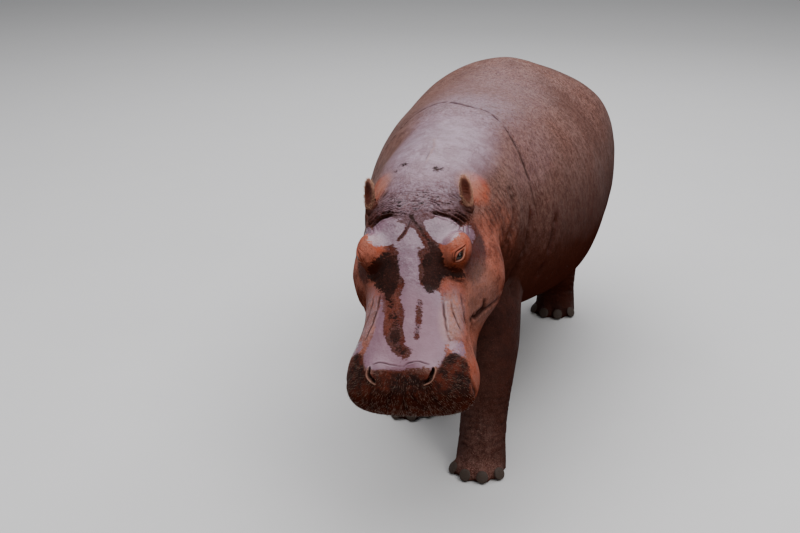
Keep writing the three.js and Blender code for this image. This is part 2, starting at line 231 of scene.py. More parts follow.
class Hide:
    """The skin while it is worked on: its points, edges and marks as arrays."""

    def __init__(self, mesh):
        self.mesh = mesh
        self.marks = {}
        self.read()

    def read(self):
        """Takes points and edges from the mesh."""
        count = len(self.mesh.vertices)
        self.points = np.zeros(count * 3)
        self.mesh.vertices.foreach_get("co", self.points)
        self.points = self.points.reshape(-1, 3)
        self.edges = np.zeros(len(self.mesh.edges) * 2, int)
        self.mesh.edges.foreach_get("vertices", self.edges)
        self.edges = self.edges.reshape(-1, 2)
        self.links = np.bincount(self.edges.ravel(), minlength=count).astype(float)

    def write(self):
        """Puts the points back in the mesh."""
        self.mesh.vertices.foreach_set("co", self.points.astype(np.float32).ravel())
        self.mesh.update()

    def normals(self):
        """The way out of the skin at each point."""
        self.write()
        found = np.zeros(len(self.points) * 3, np.float32)
        self.mesh.vertex_normals.foreach_get("vector", found)
        return found.reshape(-1, 3).astype(float)

    def soften(self, share, rounds):
        """Moves each point towards the middle of its neighbours, by its own share."""
        start, end = self.edges.T
        count = len(self.points)
        for _ in range(rounds):
            middle = np.stack([
                np.bincount(start, self.points[end, k], count)
                + np.bincount(end, self.points[start, k], count)
                for k in range(3)
            ], axis=1) / self.links[:, None]
            self.points += share[:, None] * (middle - self.points)

    def refine(self, chosen):
        """Halves the squares whose points are chosen."""
        self.write()
        work = bmesh.new()
        work.from_mesh(self.mesh)
        work.verts.ensure_lookup_table()
        halved = [e for e in work.edges if chosen[e.verts[0].index] and chosen[e.verts[1].index]]
        bmesh.ops.subdivide_edges(work, edges=halved, cuts=1, use_grid_fill=True)
        work.to_mesh(self.mesh)
        work.free()
        self.read()

    def mark(self, name, value):
        """Adds to a mark, which stays between 0 and 1."""
        before = self.marks.setdefault(name, np.zeros(len(self.points)))
        self.marks[name] = np.clip(before + value, 0, 1)

    def stripe(self, name, line, width, strength):
        """Adds to a mark along a line."""
        close = self.near(line, 2 * width)
        distance = to_line(self.points[close], line)[0]
        shade = np.zeros(len(self.points))
        shade[close] = strength * (1 - rise(distance, 0.4 * width, 1.5 * width))
        self.mark(name, shade)

    def near(self, line, reach):
        """The points in the box that holds the line, grown by the reach."""
        low, high = line.min(0) - reach, line.max(0) + reach
        return np.flatnonzero(np.all((self.points > low) & (self.points < high), axis=1))

    def crease(self, line, width, depth, rim=0.0, step=0.0, fold_shade=1.0, taper=0.5):
        """Presses a furrow along a line on the skin, with a rim beside it. `step` raises the
        side that lies to the right of the line's way, seen from outside."""
        reach = 4 * width + (0.03 if step else 0)
        chosen = self.near(line, reach)
        distance, way, along = to_line(self.points[chosen], line)
        outward = self.outward[chosen]
        ends = np.clip(np.sin(np.pi * np.clip(along, 0.001, 0.999)) * 2, 0, 1) ** taper
        ends *= np.clip(0.75 + 0.7 * cloud(self.points[chosen], 0.022, 3), 0.15, 1)
        move = -depth * bump(distance, width) + rim * bump(distance - 2 * width, 0.9 * width)
        if step:
            at = np.minimum((along * (len(line) - 1)).astype(int), len(line) - 2)
            across = np.cross(unit(line[at + 1] - line[at]), outward)
            side = np.sign(np.einsum("ij,ij->i", way, across))
            move += step * np.where(side > 0, 1, -0.4) * np.exp(-distance / (0.6 * reach))
        self.points[chosen] += outward * (move * ends)[:, None]
        # Painted shade in the furrow.
        shade = np.zeros(len(self.points))
        shade[chosen] = fold_shade * bump(distance, width * 0.9) * ends
        self.mark("fold_shade", shade)

    def snapped(self, line, step):
        """The line laid on the skin."""
        line = smooth_line(line, step)
        for axis in range(3):
            line[:, axis] += cloud(line, 0.02, 90 + axis) * 0.003
        return np.array([self.tree.find_nearest(Vector(p))[0] for p in line])

    def settle(self):
        """Works out the normals and the search tree again."""
        self.outward = self.normals()
        self.tree = BVHTree.FromPolygons(
            [Vector(p) for p in self.points], [tuple(f.vertices) for f in self.mesh.polygons]
        )


# Softening of each region: a middle, half sizes, and how far the softening reaches, in
# millimetres. Later rows win.
SOFTNESS = [
    ((0, 300, 850), (900, 1150, 700), 60),
    ((0, -740, 1050), (420, 170, 420), 42),
    ((0, -1200, 900), (420, 340, 420), 19),
    ((0, 900, 270), (420, 700, 190), 30),
    ((0, -500, 330), (420, 500, 190), 30),
    ((0, 0, 60), (500, 1600, 120), 11),
    ((0, 1400, 960), (90, 90, 300), 9),
]


def build_surface(settings):
    """The flesh wrapped in one mesh, softened, and made finer where the detail is."""
    gap = settings.closing
    shapes = [flesh_shape(name, gap) for name in FLESH]
    for side in SIDES:
        low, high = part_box(f"eye_{side}")
        radius = (high.x - low.x) / 2
        shapes.append(ball(np.array((low + high) / 2), radius + 2 * MM))
        shapes.append(ball(from_head(np.array(mirrored((101, -497, -4), side)) * MM), 0.026))
    voxel = settings.voxel
    hide = Hide(wrapped(shapes, voxel))

    reach = np.full(len(hide.points), 40.0)
    for middle, halves, value in SOFTNESS:
        away = np.abs(hide.points / MM - middle) / halves
        inside = 1 - rise(away.max(axis=1), 0.85, 1.15)
        reach += (value - reach) * inside
    head = to_head(hide.points) / MM
    for side, out in SIDES.items():
        orbit = np.linalg.norm((head - [out * 160, -14, -10]) / [80, 95, 80], axis=1)
        reach += (12 - reach) * (1 - rise(orbit, 0.8, 1.2))
        inner = np.linalg.norm((head - [out * 104, 0, -8]) / [34, 84, 60], axis=1)
        reach += (24 - reach) * (1 - rise(inner, 0.7, 1.1))
        low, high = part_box(f"ear_{side}")
        away = np.abs(hide.points - np.array((low + high) / 2))
        inside = 1 - rise((away / (np.array((high - low) / 2) + 0.012)).max(axis=1), 0.8, 1.2)
        reach += (6 - reach) * inside
    rounds = 150
    share = np.clip((reach * MM) ** 2 / (rounds * voxel ** 2 * 0.5), 0, 0.95)
    hide.soften(share, rounds)
    hide.points -= hide.normals() * (gap + settings.inset)

    for level in range(3):
        hide.refine(fine_places(hide, level))
        hide.soften(np.where(fine_places(hide, level), 0.45, 0.0), 3)
    hide.points[:, 2] = np.maximum(hide.points[:, 2], 0.0)
    hide.settle()
    return hide


def mirrored(point, side):
    """A point of the left side, on the side named."""
    return (SIDES[side] * point[0], *point[1:])


EYE = {"left": (168, -43, -2), "right": (-177, -36, -4)}
GAZE = {"left": (0.58, -0.41, 0.70), "right": (-0.86, -0.36, 0.36)}
LIDS_RUN = (-0.46, -0.84, -0.04)
NOSTRIL = [(115, -464, 13), (114, -482, 9), (105, -502, 4), (88, -517, 2)]
EAR_ROOT = (187, 156, -64)
EAR_TURNS = (-42, -4, 22)
EAR_HOLLOW = ((0, -22, 94), (19, 22, 47))
NECK_ARC = [
    (-338, -228, 1155), (-284, -172, 1243), (-221, -92, 1306), (-125, -87, 1353),
    (-62, -121, 1370), (18, -180, 1372), (112, -193, 1354), (206, -266, 1293),
    (265, -321, 1215), (318, -367, 1095), (336, -372, 1020), (345, -380, 960),
]


def fine_places(hide, level):
    """Which points lie where the skin needs this level of detail."""
    head = to_head(hide.points) / MM
    chosen = np.zeros(len(hide.points), bool)
    if level == 0:
        chosen |= (head[:, 1] < 255) & (hide.points[:, 1] < -0.80) & (hide.points[:, 2] > 0.5)
        chosen |= hide.points[:, 2] < 0.13
    reaches = {0: (120, 90, 150), 1: (78, 60, 150), 2: (50, 34, 0)}[level]
    for side in SIDES:
        middles = (EYE[side], mirrored(NOSTRIL[2], side), mirrored(EAR_ROOT, side))
        for middle, reach in zip(middles, reaches):
            chosen |= np.linalg.norm(head - middle, axis=1) < reach
    if level < 2:
        arc = smooth_line(np.array(NECK_ARC) * MM, 0.03)
        close = hide.near(arc, 0.05)
        distance = to_line(hide.points[close], arc)[0]
        chosen[close] |= distance < (0.05, 0.03)[level]
    if level == 1:
        chosen |= (head[:, 1] < -40) & (hide.points[:, 1] < -0.95) & (head[:, 2] > -200) & (
            np.abs(head[:, 0]) < 400) & (hide.points[:, 2] > 0.5)
    return chosen


def carve_eye(hide, side, radius):
    """Opens an almond between two thick lids, with folds round them."""
    middle = from_head(np.array(EYE[side]) * MM)
    gaze = unit(AXES @ np.array(GAZE[side]))
    length = AXES @ np.array(mirrored(LIDS_RUN, side))
    length = unit(length - gaze * (length @ gaze))
    upper = np.cross(gaze, length) * -SIDES[side]
    arm = hide.points - middle
    far = np.linalg.norm(arm, axis=1)
    near = np.flatnonzero((far < 0.085) & (arm @ gaze > -0.015))
    arm, far = arm[near], far[near]
    ahead = np.maximum(arm @ gaze, 1e-4)
    a = np.arctan2(arm @ length, ahead)
    b = np.arctan2(arm @ upper, ahead)
    a0, b0 = math.radians(54), math.radians(21)
    lid = b0 * np.maximum(1 - np.abs(a / a0) ** 2.2, -2.5)
    edge = (np.abs(b) - lid) * radius / MM
    fade = 1 - rise(far, 0.045, 0.075)
    above = rise(b, -0.1, 0.25)
    folds = (
        2.4 * bump(edge - 3.0, 2.4)
        - (1.2 + 2.4 * above) * bump(edge - 8.5 - 1.5 * above, 2.0)
        + 2.2 * above * bump(edge - 15, 4.0)
        - (1.4 - 0.9 * above) * bump(edge - 17, 2.6)
        - 1.2 * above * bump(edge - 24, 2.6)
    ) * MM * fade
    inside = edge < 0
    target = np.where(inside, radius - 4 * MM, np.maximum(far, radius + 3.2 * MM) + folds)
    hide.points[near] = middle + unit(arm) * target[:, None]
    # Painted shade in the lid folds, and painted dark inside the opening behind the eyeball.
    fold_shade = np.zeros(len(hide.points))
    fold_shade[near] = bump(edge - 8.5 - 1.5 * above, 1.8) * (0.35 + 0.65 * above) * fade
    fold_shade[near] += 0.3 * bump(edge - 17, 2.4) * fade
    fold_shade[near] = np.where(inside, 1.0, np.clip(fold_shade[near], 0, 1))
    hide.mark("fold_shade", fold_shade)
    pale = np.zeros(len(hide.points))
    pale[near] = bump(edge - 1.4, 1.5) * (edge > -1.5) * (0.3 + 0.6 * (1 - above))
    hide.mark("rim", pale)


def carve_nostril(hide, side):
    """A crescent slit with a raised pale rim on its outer and lower side."""
    slit = hide.snapped(head_line([mirrored(p, side) for p in NOSTRIL]), 0.004)
    close = hide.near(slit, 0.03)
    distance, way, along = to_line(hide.points[close], slit)
    outer = unit(way) @ (AXES @ unit(np.array(mirrored((0.75, -0.62, 0.0), side))))
    outer = rise(outer, -0.3, 0.5)
    wide = (2.2 + 3.6 * np.sin(np.pi * np.clip(along, 0, 1)) ** 0.7) * MM
    hole = 1 - rise(distance, wide * 0.7, wide * 1.5)
    lip = bump(distance - wide - 3.6 * MM, 3.0 * MM)
    hide.points[close] += hide.outward[close] * (
        -18 * MM * hole + (3.6 * outer + 1.2) * MM * lip
    )[:, None]
    # The pit and fold marks paint shade inside the slit; the rim mark is the nostril's pale rim.
    for name, value in (("pit_shade", hole), ("rim", lip * outer * 0.8), ("fold_shade", hole)):
        shade = np.zeros(len(hide.points))
        shade[close] = value
        hide.mark(name, shade)


# Furrows of the head, in millimetres of its own frame: the line, its width and depth, its rim,
# and whether the other side has one too.
HEAD_FURROWS = [
    ([(72, 120, 8), (100, 112, 2), (124, 110, -4), (148, 98, -18), (172, 80, -34)], 5, 8, 2, True),
    ([(138, 122, -12), (158, 112, -24), (180, 98, -42)], 4.5, 6, 4, True),
    ([(150, 136, -18), (170, 124, -32), (190, 108, -50)], 4, 5, 3.5, True),
    ([(92, 132, 4), (112, 128, -1), (130, 132, -8)], 4, 4, 2, True),
    ([(-9, 108, 12), (-14, 84, 12), (-32, 42, 8), (-52, 20, 4)], 3.5, 1.6, 0.3, False),
    ([(-9, 108, 12), (2, 84, 12), (27, 56, 10), (54, 16, 4)], 3.5, 1.6, 0.3, False),
    ([(112, -60, -24), (124, -82, -32), (144, -98, -42)], 8, 3, 0.5, True),
    ([(104, -66, -14), (122, -104, -30), (152, -118, -48), (186, -112, -84)], 7, 3, 0.5, True),
    ([(116, -168, -36), (124, -230, -38), (138, -292, -38), (156, -350, -38)], 4.5, 2.6, 1.4, True),
    ([(142, -184, -54), (156, -240, -62), (178, -294, -80)], 4.5, 2.6, 1.4, True),
    ([(168, -156, -80), (180, -214, -98), (196, -262, -118)], 4.5, 2.2, 1.0, True),
    ([(204, -236, -170), (212, -196, -206), (226, -160, -214), (230, -132, -196)], 9, 6, 2, True),
    ([(222, -200, -196), (240, -160, -236), (246, -120, -270), (236, -70, -300)], 10, 5, 2, True),
    ([(-104, -452, 16), (-80, -444, 17), (-40, -452, 13), (0, -460, 12)], 3, 1.2, 0.6, False),
    ([(4, -462, 12), (34, -447, 13), (64, -444, 14), (100, -452, 12)], 3, 1.2, 0.6, False),
    ([(4, -512, 2), (6, -535, -8), (5, -565, -34), (0, -580, -90), (0, -582, -170)], 8, 6, 3, False),
    ([(-30, -540, -16), (-58, -566, -60), (-72, -574, -120)], 7, 2.5, 0, True),
    ([(96, -520, -26), (120, -548, -80), (124, -560, -140)], 9, 2.5, 0, True),
    ([(170, -470, -40), (196, -486, -110), (196, -500, -170)], 10, 3, 1, True),
]

# Furrows of the body, in millimetres.
BODY_FURROWS = [
    ([(-34, -583, 1339), (-20, -660, 1332), (-20, -717, 1322), (-19, -783, 1309)], 6, 5, 2, False),
    ([(286, -590, 1180), (310, -610, 1090), (318, -660, 1020), (300, -715, 950), (286, -735, 870)],
     26, 15, 4, True),
    ([(344, -430, 1010), (372, -470, 900), (360, -500, 800), (330, -520, 700)], 24, 14, 4, True),
    ([(418, -230, 960), (416, -262, 880), (398, -296, 790), (352, -300, 690)], 26, 14, 4, True),
    ([(326, -424, 1043), (331, -444, 966), (338, -450, 900)], 8, 5, 2, True),
    ([(365, -319, 1030), (364, -340, 1005), (360, -355, 985)], 5, 3, 1, False),
    ([(430, 800, 560), (380, 880, 470), (300, 960, 420)], 16, 9, 3, True),
    ([(86, 1280, 1130), (96, 1310, 1040), (84, 1330, 920), (66, 1330, 820)], 16, 7, 2, True),
]


def seam_mark(hide, one, others, reach):
    """How near each point is to where one solid meets the others."""
    far = reach * 3
    best = np.full((2, len(hide.points)), np.inf)
    close = np.arange(len(hide.points))
    for row, names in enumerate(([one], others)):
        for name in names:
            points, triangles = flesh_shape(name, 0.0)
            tree = BVHTree.FromPolygons([Vector(p) for p in points], triangles.tolist())
            there = hide.points[close]
            boxed = np.all((there > points.min(0) - far) & (there < points.max(0) + far), axis=1)
            for i in close[boxed]:
                found = tree.find_nearest(Vector(hide.points[i]), far)
                if found[3] is not None:
                    best[row, i] = min(best[row, i], found[3])
        close = np.flatnonzero(np.isfinite(best[0]))
    return bump(best.max(axis=0), reach)


def wrinkle(hide, chosen, coordinate, spacing, depth, weight, seed, wander=1.3):
    """Waves of skin across a coordinate, broken up by noise, deepest in their furrows."""
    points = hide.points[chosen]
    drift = cloud(points, 0.05, seed) * 0.5 + cloud(points, 0.018, seed + 1) * 0.22
    furrow = np.abs(np.sin(np.pi * (coordinate / spacing + drift * wander))) ** 0.6
    strength = weight * np.clip(0.55 + 0.9 * cloud(points, 0.03, seed + 2), 0, 1)
    hide.points[chosen] += hide.outward[chosen] * ((furrow - 0.7) * depth * strength)[:, None]
    # Painted shade in the wrinkles' furrows.
    shade = np.zeros(len(hide.points))
    shade[chosen] = (1 - furrow) ** 1.4 * strength * 1.1
    hide.mark("fold_shade", shade)


def nail_place(leg, toe):
    """The middle of a nail, the way it points, and half its height."""
    low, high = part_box(f"nail_{leg}_{toe}")
    sole_low, sole_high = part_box(f"foot_{leg}")
    middle = np.array((low + high) / 2)
    way = middle - np.array((sole_low + sole_high) / 2)
    way[2] = 0
    return middle, unit(way), (high.z - low.z) / 2


def shape_skin(hide, settings):
    """Mouth, nostrils, eyelids, furrows and wrinkles."""
    deep = settings.fold_depth
    # Painted shade along the mouth, in the crook of each leg and round the ears' roots.
    mouth = seam_mark(hide, "lower_jaw", ["head"], 0.007)
    hide.points -= hide.outward * (mouth * 0.009)[:, None]
    hide.mark("fold_shade", mouth)
    for leg in LEGS:
        crook = seam_mark(hide, f"leg_{leg}", ["trunk", "neck"], 0.016)
        hide.points -= hide.outward * (crook * 0.006 * deep)[:, None]
        hide.mark("fold_shade", crook * 0.5)
    for side in SIDES:
        root = seam_mark(hide, f"ear_{side}", ["head", "neck"], 0.006)
        hide.points -= hide.outward * (root * 0.003)[:, None]
        hide.mark("fold_shade", root * 0.8)

    for line, width, depth, rim, both in HEAD_FURROWS:
        for side in SIDES if both else ["left"]:
            laid = hide.snapped(head_line([mirrored(p, side) for p in line]), 0.006)
            hide.crease(laid, width * MM, depth * MM * deep, rim * MM * deep)
    for line, width, depth, rim, both in BODY_FURROWS:
        for side in SIDES if both else ["left"]:
            laid = hide.snapped(np.array([mirrored(p, side) for p in line]) * MM, 0.012)
            hide.crease(laid, width * MM, depth * MM * deep, rim * MM * deep, fold_shade=0.5)
    arc = hide.snapped(np.array(NECK_ARC) * MM, 0.01)
    hide.crease(arc, 6 * MM, 3.5 * MM * deep, 0.5 * MM, step=-3 * MM, fold_shade=0.85, taper=0.5)

    head = to_head(hide.points) / MM
    brow = np.flatnonzero(
        (np.abs(head[:, 0]) < 200) & (head[:, 1] > 95) & (head[:, 1] < 260) & (head[:, 2] > -110)
    )
    here = head[brow]
    weight = rise(here[:, 1], 96, 120) * (1 - rise(here[:, 1], 180, 250))
    weight *= 1 - 0.6 * rise(np.abs(here[:, 0]), 60, 170)
    bent = (here[:, 1] + 0.0016 * here[:, 0] ** 2) * MM
    wrinkle(hide, brow, bent, 0.0145, 0.0066 * deep, weight, 5, 3.0)
    for side, out in SIDES.items():
        away = head - np.array(mirrored(EAR_ROOT, side))
        chosen = np.flatnonzero(np.linalg.norm(away, axis=1) < 130)
        away = away[chosen]
        turn = np.arctan2(away[:, 1], -out * away[:, 0])
        distance = np.linalg.norm(away[:, :2], axis=1)
        weight = rise(distance, 20, 38) * (1 - rise(distance, 80, 125))
        weight *= rise(np.cos(turn), -0.5, 0.2) * (1 - rise(away[:, 2], 40, 60))
        wrinkle(hide, chosen, turn * 0.075, 0.014, 0.0055 * deep, weight, 11, 0.9)

    for side in SIDES:
        low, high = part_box(f"eye_{side}")
        carve_eye(hide, side, (high.x - low.x) / 2)
        hide.settle()
        carve_nostril(hide, side)

    hide.settle()
    z, y = hide.points[:, 2], hide.points[:, 1]
    for leg in LEGS:
        low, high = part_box(f"leg_{leg}")
        sole_low, sole_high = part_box(f"foot_{leg}")
        chosen = np.flatnonzero(
            (z < 0.42) & (z > 0.07) & (hide.points[:, 0] > low.x - 0.02)
            & (hide.points[:, 0] < high.x + 0.02) & (y > sole_low.y - 0.1) & (y < high.y + 0.02)
        )
        weight = rise(z[chosen], 0.08, 0.13) * (1 - rise(z[chosen], 0.26, 0.42))
        lean = z[chosen] + 0.12 * (y[chosen] - (sole_low.y + sole_high.y) / 2)
        wrinkle(hide, chosen, lean, 0.026, 0.0035 * deep, weight, 31)
    ground = np.flatnonzero(z < 0.16)
    for leg in LEGS:
        for toe in range(1, 5):
            middle, way, half = nail_place(leg, toe)
            knuckle = middle + [0, 0, 0.7 * half] - way * 0.6 * half
            away = np.linalg.norm(hide.points[ground] - knuckle, axis=1)
            hide.points[ground] += way * (0.45 * half * bump(away, 1.0 * half))[:, None]
    low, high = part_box("tail")
    tail = np.flatnonzero(
        (y > low.y + 0.05) & (z > low.z - 0.01) & (np.abs(hide.points[:, 0]) < 0.07)
    )
    wrinkle(hide, tail, z[tail], 0.02, 0.0022 * deep, np.ones(len(tail)), 41)
    neck = np.flatnonzero((y > -0.98) & (y < -0.45) & (z > 0.62))
    there = hide.points[neck]
    weight = rise(np.abs(there[:, 0]), 0.16, 0.28) * (1 - rise(there[:, 1], -0.62, -0.46))
    weight *= rise(there[:, 1], -0.98, -0.88)
    wrinkle(hide, neck, there[:, 1] + 0.35 * there[:, 2], 0.03, 0.0026 * deep, weight, 51)
    lumps = cloud(hide.points, 0.16, 61) * 3.0 + cloud(hide.points, 0.07, 62) * 1.2
    broad = rise(y, -0.8, -0.5) * rise(z, 0.3, 0.5)
    hide.points += hide.outward * (lumps * MM * broad)[:, None]
    hide.points[:, 2] = np.maximum(hide.points[:, 2], 0.0)


# Patches of the head, in millimetres of its frame: the mark, the middle and half sizes, the
# strength, and whether the other side has one too.
HEAD_PATCHES = [
    ("cheek", (190, -80, -190), (130, 230, 230), 1.0, True),
    ("cheek", (160, -280, -110), (70, 190, 120), 1.0, True),
    ("brown", (0, -160, 10), (128, 330, 70), 1.0, False),
    ("brown", (0, 150, -10), (230, 120, 120), 0.8, False),
    # The sheen rows are painted reflection of the pale sky on the wet brow and nose; the nose row
    # tints that painted reflection pinker.
    ("sheen", (-12, 22, 0), (64, 52, 60), 1.1, False),
    ("sheen", (-12, -70, 0), (40, 56, 50), 1.1, False),
    ("sheen", (8, -130, -8), (26, 44, 50), 1.0, False),
    ("sheen", (24, -186, -16), (70, 36, 50), 1.1, False),
    ("sheen", (62, -256, -20), (90, 90, 50), 1.1, False),
    ("sheen", (72, -340, -10), (84, 84, 50), 1.1, False),
    ("sheen", (6, -428, 8), (150, 44, 50), 1.1, False),
    ("sheen", (-104, -300, -30), (20, 110, 50), 0.9, False),
    ("nose", (10, -340, -10), (160, 190, 80), 1.0, False),
    ("sheen", (-94, -398, -6), (48, 70, 50), 1.0, False),
    ("sheen", (104, 62, 0), (70, 48, 50), 1.0, True),
    ("sheen", (200, 60, -40), (34, 36, 40), 0.9, True),
    ("sheen_veil", (0, 200, -10), (160, 120, 110), 0.8, False),
    ("sheen", (0, 150, 0), (120, 36, 60), 0.45, False),
    ("sheen", (186, -376, -50), (34, 40, 40), 0.8, True),
    ("sheen", (126, 22, 10), (44, 34, 40), 0.7, True),
    ("sheen_veil", (222, -30, -100), (36, 110, 100), 0.1, False),
    ("sheen_veil", (146, -250, -60), (56, 100, 60), 0.9, True),
    ("sheen_veil", (240, -160, -180), (60, 90, 120), 0.2, False),
    # The first four rim rows are painted highlights on the snout's sides, the left cheek and the
    # orbits' tops.
    ("rim", (150, -262, -60), (40, 100, 54), 0.5, False),
    ("rim", (-150, -270, -60), (36, 120, 54), 0.3, False),
    ("rim", (228, -150, -170), (50, 130, 120), 0.36, False),
    ("rim", (150, 16, 24), (40, 34, 34), 0.2, True),
    ("rim", (178, 300, -96), (52, 60, 60), 0.34, True),
    # The dark rows are partly dark brown skin and partly painted shade where the wet skin mirrors no
    # sky.
    ("dark", (82, -84, -10), (38, 80, 60), 1.1, False),
    ("dark", (64, -150, -10), (30, 30, 60), 0.5, False),
    ("dark", (0, 165, 0), (170, 64, 90), 0.36, False),
    ("dark", (-96, -100, -20), (54, 74, 60), 1.1, False),
    # Painted shadow under each orbit's mound.
    ("dark", (146, -92, -50), (44, 22, 40), 0.8, True),
    ("brown", (206, -10, -90), (44, 100, 80), 0.9, True),
    ("muzzle", (0, -560, -90), (290, 92, 230), 1.0, False),
    ("muzzle", (176, -452, -60), (50, 60, 90), 0.9, True),
    ("warm", (160, -20, -6), (60, 78, 58), 1.0, True),
    ("warm", (150, -160, -55), (50, 60, 50), 0.6, True),
    ("warm", (-62, -240, -30), (40, 120, 40), 0.35, False),
    ("warm", (232, -450, -140), (30, 90, 130), 0.8, True),
    ("warm", (196, 285, -112), (74, 84, 90), 0.8, True),
    ("warm", (0, -530, -20), (70, 40, 60), 0.6, False),
]

# Stripes on the head: the mark, the line in millimetres, its half width and the strength.
HEAD_STRIPES = [
    # The bare stripes take the painted reflection away; the dark stripes are painted shade along the
    # brow's furrows, and partly painted shade on the snout's side.
    ("bare", [(-66, -150, -24), (-62, -200, -24), (-46, -270, -16), (-36, -340, -4)], 34, 0.95),
    ("bare", [(-36, -340, -4), (-20, -390, 5), (10, -408, 9)], 27, 0.8),
    ("dark", [(-36, -340, -4), (-20, -390, 5), (4, -402, 9)], 18, 0.46),
    ("dark", [(-72, -150, -24), (-68, -200, -24), (-50, -270, -16), (-36, -340, -4)], 22, 0.52),
    ("bare", [(40, -215, -14), (42, -274, -13)], 15, 0.55),
    ("dark", [(40, -215, -14), (42, -274, -13), (42, -345, -5)], 10, 0.34),
    ("bare", [(44, -296, -9), (42, -345, -5)], 15, 0.55),
    ("bare", [(-9, 110, 12), (2, 84, 12), (27, 56, 10), (52, 18, 4), (74, -6, 0)], 18, 1.0),
    ("dark", [(-9, 110, 12), (2, 84, 12), (27, 56, 10), (52, 18, 4), (74, -6, 0)], 9, 0.55),
    ("bare", [(-9, 110, 12), (-14, 84, 12), (-32, 42, 8), (-52, 20, 4)], 9, 0.9),
    ("dark", [(-164, 110, -28), (-120, 116, -4), (-84, 122, 7)], 9, 0.5),
    ("dark", [(76, 120, 6), (104, 114, 0), (130, 108, -6)], 9, 0.5),
]

# Patches of the body, in millimetres.
BODY_PATCHES = [
    # The veil rows and the haze row are painted reflection of the sky on the nape, back and
    # shoulder.
    ("sheen_veil", (-20, -620, 1350), (210, 420, 160), 1.0, False),
    ("sheen_veil", (-20, -200, 1430), (320, 260, 160), 0.6, False),
    ("sheen_veil", (60, 150, 1420), (330, 420, 170), 0.35, False),
    ("sheen_veil", (270, -240, 1190), (110, 260, 120), 0.2, False),
    ("nape_sheen", (-10, -620, 1350), (225, 330, 150), 0.9, False),
    ("dark", (-115, -784, 1275), (36, 34, 40), 0.46, False),
    ("dark", (45, -827, 1293), (30, 26, 40), 0.42, False),
    ("cheek", (260, -770, 960), (120, 220, 210), 0.55, True),
]

# Stripes on the body: the mark, the line in millimetres, its half width and the strength.
BODY_STRIPES = [
    ("rim", [(-30, -583, 1339), (-14, -660, 1332), (-12, -717, 1322), (-12, -783, 1309)], 6, 0.5),
    # The brown stripes are painted shade along the folds of the shoulder and neck.
    ("brown", [(286, -560, 1200), (308, -600, 1100), (316, -650, 1020), (300, -705, 950)], 40, 0.3),
    ("brown", [(344, -430, 1010), (372, -470, 900), (360, -500, 800), (330, -520, 700)], 40, 0.5),
    ("brown", [(418, -230, 960), (416, -262, 880), (398, -296, 790), (352, -300, 690)], 36, 0.5),
]


def to_ear(points, side):
    """Points in millimetres of an ear's own frame: -Y out of its hollow, +Z to its tip."""
    out = SIDES[side]
    x, y, z = (math.radians(turn) for turn in EAR_TURNS)
    axes = (
        Matrix.Rotation(x, 3, "X") @ Matrix.Rotation(out * y, 3, "Y")
        @ Matrix.Rotation(out * z, 3, "Z")
    )
    return (to_head(points) / MM - mirrored(EAR_ROOT, side)) @ np.array(axes)


MARKS = (
    "sheen", "dark", "muzzle", "warm", "fold_shade", "rim", "pit_shade", "ear", "inner", "fringe", "cheek",
    "low", "brown", "sheen_veil", "bare", "shade", "nape_sheen", "nose",
)


def mark_skin(hide):
    """Where the skin is warm or dark, where painted reflection makes it pale, and where painted
    shade falls.
    """
    for name in MARKS:
        hide.mark(name, np.zeros(len(hide.points)))
    head = to_head(hide.points) / MM
    front = 1 - rise(head[:, 1], 330, 420)
    for patches, places, where in (
        (HEAD_PATCHES, head, front), (BODY_PATCHES, hide.points / MM, 1.0)
    ):
        for name, middle, halves, strength, both in patches:
            for side in SIDES if both else ["left"]:
                away = np.linalg.norm((places - mirrored(middle, side)) / halves, axis=1)
                hide.mark(name, strength * (1 - rise(away, 0.55, 1.45)) * where)
    y, z = hide.points[:, 1], hide.points[:, 2]
    # Painted shade: darker towards the bottom of the body, and where the skin faces down.
    hide.mark("low", (1 - rise(z, 0.55, 1.3)) * rise(y, -0.9, -0.6))
    hide.mark("shade", 1 - rise(hide.outward[:, 2], -0.5, 0.6))
    for name, line, width, strength in HEAD_STRIPES:
        hide.stripe(name, smooth_line(head_line(line), 0.01), width * MM, strength)
    for name, line, width, strength in BODY_STRIPES:
        hide.stripe(name, smooth_line(np.array(line) * MM, 0.02), width * MM, strength)
    for side in SIDES:
        ear = to_ear(hide.points, side)
        whole = 1 - rise(np.linalg.norm((ear - (0, 0, 82)) / (42, 34, 78), axis=1), 0.85, 1.0)
        middle, halves = EAR_HOLLOW
        hollow = np.linalg.norm((ear - middle) / halves, axis=1)
        inner = whole * (1 - rise(hollow, 0.98, 1.22))
        edge = whole * bump(hollow - 1.42, 0.26) * rise(ear[:, 1], 16, 4)
        hide.mark("ear", whole)
        hide.mark("inner", inner)
        hide.mark("fringe", edge)


# ------------------------------------------------------------------ materials

PALETTE = (
    "back", "flank", "under", "pink", "cheek", "blush", "brown", "sheen", "lilac_sheen", "nape", "nose",
    "warm", "glow", "ember", "shadow", "muzzle", "rim", "furrow", "hollow",
)


